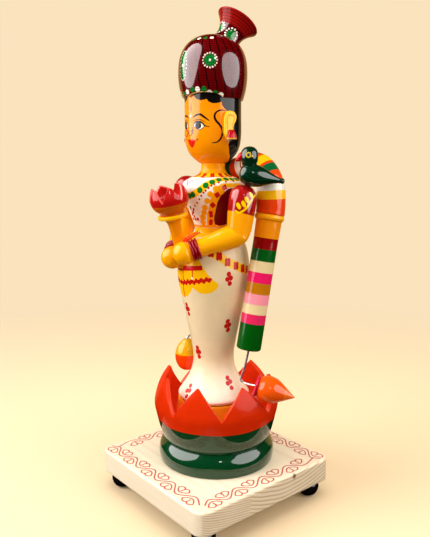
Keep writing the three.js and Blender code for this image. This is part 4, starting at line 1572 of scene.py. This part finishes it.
def limb(knots, elbow, along, other, sharp, step, columns=120):
    """Half an arm: its profile spun round its own axis, cut and closed by the mitre plane.

    The plane's height at angle a is -(n_x cos a + n_y sin a) r / n_z in the limb's frame.
    """
    line = fine_line(knots, sharp, 0.25)
    rows = rows_of(line, step)
    normal = unit(unit(along) - unit(other)) @ leaning(along)
    angles = np.arange(columns) * 360 / columns
    a = np.radians(angles)
    foot = -(MITRE_OVER + ELBOW * (normal[0] * np.cos(a) + normal[1] * np.sin(a))) / normal[2]
    middle = -MITRE_OVER / normal[2]
    radius, height = stretched(rows, line, MITRE_FADE, rows[0, 1], foot)
    radius = np.vstack([MITRE_RINGS * ELBOW + 0 * foot, radius])
    height = np.vstack([MITRE_RINGS * (foot - middle) + middle, height])
    part = Turned(radius, height, angles, elbow, along, line)

    # The outer corner of the elbow is rounded: beyond k mm, out = k + s (1 - exp(-(out - k) / s)).
    away = -unit(unit(along) + unit(other))
    out = (part.points - elbow) @ away
    beyond = np.maximum(out - ELBOW_KEPT, 0)
    soft = ELBOW_SOFT * (1 - np.exp(-beyond / ELBOW_SOFT))
    part.points = part.points + (soft - beyond)[..., None] * away
    return part


def arm(hand):
    """The upper arm with its sleeve, and the forearm with three bangles and a ball hand."""
    shoulder, elbow, palm = (np.array(p, float) for p in ARMS[hand])
    up, out = shoulder - elbow, palm - elbow
    top, end = np.linalg.norm(up), np.linalg.norm(out)
    knots = [
        (ELBOW, -11.8),
        (ELBOW, 0),
        (SLEEVE, top),
        (8.35, top + 4.8),
        (4.8, top + 8.35),
        (0, top + SLEEVE),
    ]
    upper = limb(knots, elbow, up, out, (1,), 0.6)
    mirror = hand == "right"
    sway = np.cos(np.radians(upper.angle - (290 if mirror else 250)))
    upper.paint("sleeve", SLEEVE_FROM + sway - upper.height)

    def flip(marks):
        return [(180 - a, h) for a, h in marks] if mirror else marks

    leaves = [flip([(a + 6, h - 1.7), (a - 7, h + 1.5)]) for a, h in SCROLL_LEAVES]
    upper.paint(
        "scroll",
        upper.stroke(flip(SCROLL), 0.75, ends=0.6),
        *(upper.stroke(leaf, 1.35, ends=0.35, straight=True) for leaf in leaves),
    )

    first, groove, low = end - BANGLES_FROM, WRIST + 1.3, BANGLE - BANGLE_ROUND
    long = BANGLES * BANGLE_PITCH
    knots = [(ELBOW, -11.8), (ELBOW, 2), (8.15, 9), (6.6, first - 7)]
    sharp = []
    for z in first + BANGLE_PITCH * np.arange(BANGLES):
        sharp.append(len(knots))
        knots += [(groove, z), (low, z + 0.3), (BANGLE, z + 1.05), (low, z + 1.8)]
    sharp.append(len(knots))
    knots += [
        (groove, first + long),
        (WRIST + 0.6, first + long + 0.4),
        (7.7, end - 2.46),
        (HAND, end + 1.64),
        (5.74, end + 5.9),
        (0, end + HAND),
    ]
    fore = limb(knots, elbow, out, up, sharp, 0.4, 128)
    fore.paint("bangle", fore.band(first + long / 2, long / 2))
    return upper, fore


class DOLL_OT_arms(bpy.types.Operator):
    """Add the upper arms with their sleeves and the forearms with bangles and hands"""

    bl_idname = "doll.arms"
    bl_label = "Arms"

    def execute(self, context):
        paints = [("sleeve", colour_of("sleeve")), ("scroll", linear(255, 208, 0))]
        look = {"dull": 0.7, "glossy": ("sleeve",)}
        sleeve = lacquer("sleeve_lacquer", colour_of("amber"), paints, **look)
        paints = [("bangle", linear(148, 4, 20))]
        wrist = lacquer("forearm_lacquer", linear(254, 171, 4), paints, wobble=0.05, dull=0.6)
        for hand in ARMS:
            upper, fore = arm(hand)
            make_piece(f"upper_arm_{hand}", upper, sleeve)
            make_piece(f"forearm_{hand}", fore, wrist)
        return {"FINISHED"}


# ---------------------------------------------------------------- held lotus

FLOWER_AT = (0.8, -30.5, 190)
FLOWER_LEAN = math.radians(13.5)
FLOWER_OUT = [
    (3.4, 0), (4, 14), (5.6, 24), (10.4, 26.2), (10.6, 28), (7.4, 29.2), (11.8, 33.5),
    (13.3, 37.5), (13.5, 41), (11.2, 47.8),
]
FLOWER_IN = [(9.3, 47.8), (11.1, 41), (9.9, 37.5), (6, 34.5), (2, 33.8)]
FLOWER_CUTS = [
    (303, 38, 4.6, 4.6), (3, 38, 4.6, 4.6), (63, 40, 4.6, 4.2), (124, 42.5, 2.6, 7.4),
    (197, 41, 4.2, 4), (246, 39.5, 4, 4.6),
]
FLOWER_RED = 36.2  # height on the outside from which the petals are red


class DOLL_OT_flower(bpy.types.Operator):
    """Add the lotus that the doll holds"""

    bl_idname = "doll.flower"
    bl_label = "Held lotus"

    def execute(self, context):
        axis = (0, -math.sin(FLOWER_LEAN), math.cos(FLOWER_LEAN))
        flower = petalled(
            FLOWER_OUT, FLOWER_IN, FLOWER_CUTS, 150, FLOWER_AT, axis, step=0.45, sharp=(3, 4, 5)
        )
        outside = flower.fields["inside"] > 0
        flower.fields["cup"] = np.where(outside, FLOWER_RED - flower.height, -1.0)
        paints = [
            ("cup", linear(190, 20, 16)),
            ("inside", linear(200, 34, 28)),
            ("cut", linear(220, 112, 100)),
        ]
        bands = [(25.2, colour_of("yellow")), (28.6, linear(206, 96, 8))]
        finish = lacquer("flower_lacquer", linear(238, 142, 4), paints, bands, dull=0.6)
        make_piece("held_lotus", flower, finish)
        return {"FINISHED"}


# ---------------------------------------------------------------- parrot

PARROT_SEAT = np.array([39.8, 2.9, 243.7])
PARROT_FACING = np.array([-0.64, -0.77, 0.0])
PARROT_BACK = (0.64, 0.77, -0.2)
PARROT_HEAD = np.array([37.88, 0.59, 257.7])
PARROT_BODY = [
    (0, -10.2), (4.6, -9), (7, -5.4), (7.7, -0.6), (6.6, 5.4), (3.6, 12.4), (1.8, 18),
    (1.8, 20.6), (0, 21.4),
]
PARROT_SKULL = [
    (4.9, -7.6), (5.1, -6.0), (5.75, -3.6), (5.95, -1), (5.4, 2.2), (3.3, 4.6), (0, 5.55),
]
WING = [(300, -3), (318, -6.5), (338, -3), (338, 4), (322, 12), (310, 6)]
EYE_AT, EYE_UP, EYE_BEHIND = 309.7, -0.5, (336, -1.4, 0.6)
BEAK_OUT, BEAK_DOWN, BEAK_BEND = 4.3, 1.2, 0.11  # its place before the head, and droop
BEAK = [(2.4, -0.6), (2.9, 0.8), (2.7, 2.6), (1.6, 4.3), (0, 5.2)]


class DOLL_OT_parrot(bpy.types.Operator):
    """Add the parrot on the shoulder"""

    bl_idname = "doll.parrot"
    bl_label = "Parrot"

    def execute(self, context):
        back = turned(PARROT_BODY, 96, 0.4, start=PARROT_SEAT, axis=PARROT_BACK, ease=0.5)
        back.paint("wing", *pair(WING, back.stroke, 90.0, width=0.35, closed=True))
        green = linear(4, 40, 20)
        coat = lacquer("parrot_lacquer", green, [("wing", linear(5, 54, 28))])
        make_piece("parrot_body", back, coat)

        skull = turned(PARROT_SKULL, 96, 0.3, start=PARROT_HEAD, ease=0.4)
        facing = math.degrees(math.atan2(PARROT_FACING[1], PARROT_FACING[0])) % 360
        eyes = [(EYE_AT, EYE_UP), (2 * facing - EYE_AT, EYE_UP)]
        skull.paint("ring", skull.dots(eyes, 1.95), skull.dots([EYE_BEHIND]))
        skull.paint("eye", skull.dots(eyes, 1.15))
        skull.paint("pupil", skull.dots(eyes, 0.55))
        paints = [
            ("ring", linear(226, 190, 40)),
            ("eye", linear(92, 104, 112)),
            ("pupil", colour_of("black")),
        ]
        finish = lacquer("parrot_head_lacquer", green, paints, wobble=0.08)
        make_piece("parrot_head", skull, finish)

        start = PARROT_HEAD + BEAK_OUT * PARROT_FACING - [0, 0, BEAK_DOWN]
        beak = turned(BEAK, 56, 0.25, start=start, axis=PARROT_FACING)
        beak.points[..., 2] -= BEAK_BEND * ((beak.points - start) @ PARROT_FACING) ** 2
        red = lacquer("beak_lacquer", linear(190, 14, 18), dull=0.7)
        make_piece("parrot_beak", beak, red)
        return {"FINISHED"}


# ---------------------------------------------------------------- garland

RODS = {
    "left": ((36.4, 22, 216.6), (31.6, 6.6, 120)),
    "right": ((-34.6, 24.6, 216.6), (-30.5, 15.5, 122)),
}
ARCH_PATH = [
    (36.8, 22.4, 228), (36.2, 22.2, 237), (32.4, 21.6, 244.8), (27, 20.6, 250), (20, 19.6, 251.2),
    (9, 18.8, 248.6), (-9, 19.4, 247), (-19.5, 21, 248), (-26, 22.5, 247), (-31, 24, 242.5),
    (-34.4, 25, 235), (-35, 25, 227),
]
WIRES = {
    "left": [
        (31.6, 6.6, 120.6), (31.6, 6.6, 119.4), (29.5, 5, 106), (27.4, 3.2, 96),
        (30.5, 4.2, 94.6), (40, 5.6, 94.8), (41, 5.9, 94.8),
    ],
    "right": [
        (-30.5, 15.5, 122.4), (-30.5, 15.5, 121.2), (-31, 10, 118.2), (-32, 2.4, 117.8),
        (-32.4, -0.6, 115.8), (-32.4, -0.6, 114),
    ],
}
WIRE_POINTS = 200
BUD_AT, BUD_AXIS = np.array([40.6, 5.7, 95.2]), unit((0.78, 0.575, -0.235))
BUD_OUT = 2.3  # mm from the disc's foot to the bud's
BUD_DISC = [(7.2, 0), (8.2, 1), (7.2, 2)]
BUD = [(6.6, -0.2), (9, 3.4), (9.6, 7), (8.7, 12), (5.4, 18), (2, 23.5), (0, 26.8)]
BEAD_TOP = (-32.4, -0.6, 115)
BEAD = [(0, -25.4), (5.4, -23.6), (8.6, -19), (9.6, -12.7), (7.8, -5.6), (3, 0)]
ROD_BANDS = [
    (19.5, (226, 40, 96)), (26.5, (232, 209, 159)), (33.5, (248, 150, 168)), (41, (190, 118, 6)),
    (49, (236, 21, 102)), (56.5, (232, 209, 159)), (64.5, (3, 84, 18)), (73, (140, 2, 4)),
    (81, (240, 142, 6)), (94.2, (252, 172, 14)),
]
ARCH_PAINTS = {
    "amber": (250, 176, 8),
    "red": (236, 62, 10),
    "brick": (226, 62, 12),
    "green": (8, 98, 50),
    "white": (240, 236, 226),
    "yellow": (250, 188, 6),
}
# The bands of the bar: mm along it from the left rod, and a paint or its colour.
ARCH_BANDS = [
    (-1, (236, 66, 8)), (10.9, (254, 188, 6)), (16.7, "white"), (21.2, (240, 74, 10)),
    (27, "green"), (31.7, "red"), (33.1, "yellow"), (37, "red"), (38.4, "green"),
    (42, (236, 214, 184)), (46.6, (150, 58, 20)), (47.8, "white"), (53, "brick"), (58, "green"),
    (63.5, "brick"), (68, "white"), (73, "green"), (78, "brick"), (82, "yellow"), (86, "green"),
    (90, "red"), (95, "white"), (100, "red"), (105, "yellow"), (110, "green"), (114, "white"),
    (119, (236, 158, 2)), (126, (196, 34, 4)),
]
ARCH_POINTS = 220
ARCH_RADIUS, ARCH_THICKER = 8.6, 1.7


def rod(hand):
    """One hanging rod of the garland, with a ring at its top."""
    top, bottom = (np.array(p, float) for p in RODS[hand])
    long = np.linalg.norm(top - bottom)
    knots = [
        (8.1, 0),
        (8.9, 0.8),
        (8.8, 0.8 * long),
        (9.2, long - 4.4),
        (9.8, long - 4.2),
        (10.6, long - 2.2),
        (9.8, long),
        (8.0, long + 0.2),
    ]
    return turned(knots, 128, 0.5, sharp=(1, 2, 3, 6), start=bottom, axis=top - bottom)


def arch():
    """The bar behind the neck: a round section carried from rod to rod.

    Its radius is thin + thicker min(1, 1.6 |2 k - 1|^2), k being the share of the way along it.
    """
    (left, up_left), (right, up_right) = (
        (np.array(RODS[hand][0]), unit(np.subtract(*RODS[hand]))) for hand in RODS
    )
    path = [left, left + 3 * up_left, *ARCH_PATH, right + 3 * up_right, right]
    fine = through(path, 2000)
    path = resampled(fine, np.linspace(0, run_of(fine)[-1], ARCH_POINTS))
    k = np.linspace(0, 1, len(path))
    radius = ARCH_RADIUS + ARCH_THICKER * np.minimum(1, 1.6 * np.abs(2 * k - 1) ** 2)
    return carried(radius, path, 72)


def banded(bands):
    """Bands of lacquer whose paints are given by name or as colours of 0 to 255."""
    return [(height, linear(*ARCH_PAINTS.get(paint, paint))) for height, paint in bands]


class DOLL_OT_garland(bpy.types.Operator):
    """Add the garland: two rods, the bar behind the neck, the wires, the bud and the bead"""

    bl_idname = "doll.garland"
    bl_label = "Garland"

    def execute(self, context):
        look = {"streaks": 1.0, "wobble": 0.15, "dull": 0.65}
        rods = lacquer("rod_bands", linear(3, 80, 10), bands=banded(ROD_BANDS), **look)
        for hand in RODS:
            make_piece(f"garland_rod_{hand}", rod(hand), rods)
        look = {"wobble": 0.15, "dull": 0.5}
        base = linear(*ARCH_PAINTS["amber"])
        bar = lacquer("arch_bands", base, bands=banded(ARCH_BANDS), **look)
        make_piece("garland_arch", arch(), bar)
        metal = steel("drawn_wire")
        radius = np.full(WIRE_POINTS, context.scene.doll_sizes.wire / MM)
        for hand, path in WIRES.items():
            wire = carried(radius, through(path, WIRE_POINTS), 20)
            make_piece(f"garland_wire_{hand}", wire, metal)

        disc = turned(BUD_DISC, 80, 0.3, ease=0.2, start=BUD_AT, axis=BUD_AXIS)
        pink = lacquer("bud_disc_lacquer", linear(206, 22, 66), dull=0.6)
        make_piece("bud_disc", disc, pink)
        start = BUD_AT + BUD_OUT * BUD_AXIS
        bud = turned(BUD, 96, 0.5, start=start, axis=BUD_AXIS, ease=0.4)
        tip = [(19, linear(240, 110, 30))]
        glow = lacquer("bud_lacquer", linear(232, 84, 10), bands=tip, dull=0.4, streaks=1.2)
        make_piece("bud", bud, glow)
        bead = turned(BEAD, 96, 0.5, start=BEAD_TOP, ease=0.4)
        upper = [(-11.2, linear(226, 168, 12))]
        two = lacquer("bead_lacquer", linear(240, 66, 4), bands=upper, dull=0.4)
        make_piece("bead", bead, two)
        return {"FINISHED"}


# ---------------------------------------------------------------- stage

CAMERA_AT = (0.33974815, -0.27971839, 0.24480248)
CAMERA_TURN = (81.06397, 0.13929, 50.35610)
FLOOR = [(0, 0), (1500, 0), (1900, 60), (2250, 420), (2400, 1100), (2450, 2000)]
FLOOR_RUN = np.r_[0, 700, np.linspace(1300, 4000, 40)]  # rows of the floor, in mm along it
FLOOR_TOP, FLOOR_COLUMNS = 1990, 96
FLOOR_EASE, FLOOR_PITCH = 40.0, 5.0
GLOW_FROM, GLOW_RATE = 0.25, 2.2  # metres out where the floor begins to glow, and how fast
WORLD_COLOUR, WORLD_STRENGTH = linear(242, 216, 176), 0.3
LENS, SENSOR, CLIP = 40.32, 36.0, (0.02, 20.0)
AIM = Vector((0, 0, 0.18))
# Name, azimuth, elevation, distance, width, height, power, whether it lights matt surfaces,
# whether it shows in gloss, and colour.
LAMPS = [
    ("window_left", 244, 26, 1.1, 1.0, 0.9, 15.0, True, False, (1.0, 0.98, 0.95)),
    ("window_right", 22, 24, 1.1, 0.9, 0.9, 6.5, True, False, (1.0, 0.97, 0.94)),
    ("front", 318, 10, 1.4, 1.2, 1.2, 4.0, True, False, (1.0, 0.96, 0.9)),
    ("wall", 98, 14, 1.8, 3.0, 2.0, 19.0, True, False, (1.0, 0.84, 0.62)),
    ("sky", 320, 76, 1.4, 1.4, 1.4, 16.0, True, False, (1.0, 0.98, 0.95)),
    ("sheen_left", 237, 30, 0.99, 1.26, 1.36, 30.0, False, True, (1.0, 0.99, 0.98)),
    ("sheen_right", 24, 18, 1.078, 1.36, 1.04, 19.5, False, True, (1.0, 0.98, 0.97)),
    ("sheen_back", 140, 6, 1.8, 4.6, 2.4, 17.0, False, True, (1.0, 0.58, 0.2)),
    ("spark", 329, 30, 1.3, 0.12, 0.12, 1.0, False, True, (1.0, 1.0, 1.0)),
]


def studio_floor():
    """A wide round floor whose edge curves up: its profile spun round Z, facing up and in.

    Near the doll it is lit like wood. Further off it glows, so that it has no edge.
    """
    line = resampled(fine_line(FLOOR, (1,), FLOOR_EASE, FLOOR_PITCH), FLOOR_RUN)
    line = line[line[:, 1] < FLOOR_TOP][::-1]
    a = np.arange(FLOOR_COLUMNS) * 2 * np.pi / FLOOR_COLUMNS
    x, y = line[:, :1] * np.cos(a), line[:, :1] * np.sin(a)
    points = np.stack([x, y, np.broadcast_to(line[:, 1:], x.shape)], -1).reshape(-1, 3) * MM
    index = np.arange(len(points)).reshape(x.shape)
    right = np.roll(index, -1, 1)
    faces = np.stack([index[:-1], right[:-1], right[1:], index[1:]], -1).reshape(-1, 4)
    mesh = bpy.data.meshes.new("studio_floor")
    mesh.from_pydata(points.tolist(), [], faces.tolist())
    mesh.shade_smooth()

    f = Finish("studio_floor")
    near, dark = colour_of("floor"), linear(0, 0, 0)
    tone = f.mix(f.noise(6.0, 2.0), near, tuple(c * 0.96 for c in near))
    x, y, _ = f.split(f.place())
    far = ((x * x + y * y).math("SQRT") - GLOW_FROM).math("MULTIPLY", GLOW_RATE, clamp=True)
    glow = f.mix(far, dark, colour_of("backdrop"))
    rest = {"Emission Color": glow, "Emission Strength": 1.0, "Specular IOR Level": 0.0}
    mesh.materials.append(f.close(f.mix(far, tone, dark), 0.75, **rest))
    return mesh


class DOLL_OT_stage(bpy.types.Operator):
    """Add the floor, the lights and the camera"""

    bl_idname = "doll.stage"
    bl_label = "Stage"

    def execute(self, context):
        scene = context.scene
        link = scene.collection.objects.link
        floor = bpy.data.objects.new("studio_floor", studio_floor())
        link(floor)
        floor.visible_glossy = floor.visible_diffuse = False

        world = scene.world = bpy.data.worlds.new("studio")
        world.use_nodes = True
        sky = world.node_tree.nodes["Background"].inputs
        sky[0].default_value, sky[1].default_value = (*WORLD_COLOUR, 1), WORLD_STRENGTH
        world.cycles_visibility.glossy = False

        for name, azimuth, elevation, far, wide, high, power, matt, gloss, colour in LAMPS:
            lamp = bpy.data.lights.new(name, "AREA")
            lamp.shape, lamp.size, lamp.size_y = "ELLIPSE", wide, high
            lamp.energy, lamp.color = power, colour
            shown = bpy.data.objects.new(name, lamp)
            a, e = math.radians(azimuth), math.radians(elevation)
            away = Vector((math.cos(a) * math.cos(e), math.sin(a) * math.cos(e), math.sin(e)))
            shown.location = AIM + away * far
            shown.rotation_euler = away.to_track_quat("Z", "Y").to_euler()
            shown.visible_camera = False
            shown.visible_diffuse, shown.visible_glossy = matt, gloss
            link(shown)

        lens = bpy.data.cameras.new("photo_camera")
        lens.lens, lens.sensor_width = LENS, SENSOR
        lens.clip_start, lens.clip_end = CLIP
        camera = bpy.data.objects.new("photo_camera", lens)
        camera.location = CAMERA_AT
        camera.rotation_euler = [math.radians(t) for t in CAMERA_TURN]
        link(camera)
        scene.camera = camera
        scene.view_settings.view_transform = "Standard"
        return {"FINISHED"}


# ---------------------------------------------------------------- panel and registration

OPERATORS = (
    DOLL_OT_stage,
    DOLL_OT_plinth,
    DOLL_OT_seat,
    DOLL_OT_body,
    DOLL_OT_head,
    DOLL_OT_crown,
    DOLL_OT_ears,
    DOLL_OT_arms,
    DOLL_OT_flower,
    DOLL_OT_parrot,
    DOLL_OT_garland,
)


class DOLL_PT_panel(bpy.types.Panel):
    """The doll's pieces, sizes and colours"""

    bl_label = "Turned doll"
    bl_idname = "DOLL_PT_panel"
    bl_space_type = "VIEW_3D"
    bl_region_type = "UI"
    bl_category = "Doll"

    def draw(self, context):
        for operator in OPERATORS:
            self.layout.operator(operator.bl_idname)
        for group in (context.scene.doll_sizes, context.scene.doll_colours):
            for key in type(group).__annotations__:
                self.layout.prop(group, key)


CLASSES = (DOLL_PG_colours, DOLL_PG_sizes, *OPERATORS, DOLL_PT_panel)


def register():
    for cls in CLASSES:
        bpy.utils.register_class(cls)
    bpy.types.Scene.doll_colours = PointerProperty(type=DOLL_PG_colours)
    bpy.types.Scene.doll_sizes = PointerProperty(type=DOLL_PG_sizes)


def unregister():
    del bpy.types.Scene.doll_sizes
    del bpy.types.Scene.doll_colours
    for cls in reversed(CLASSES):
        bpy.utils.unregister_class(cls)


def main():
    """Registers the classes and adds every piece."""
    register()
    for operator in OPERATORS:
        group, name = operator.bl_idname.split(".")
        getattr(getattr(bpy.ops, group), name)()


if __name__ == "__main__":
    main()
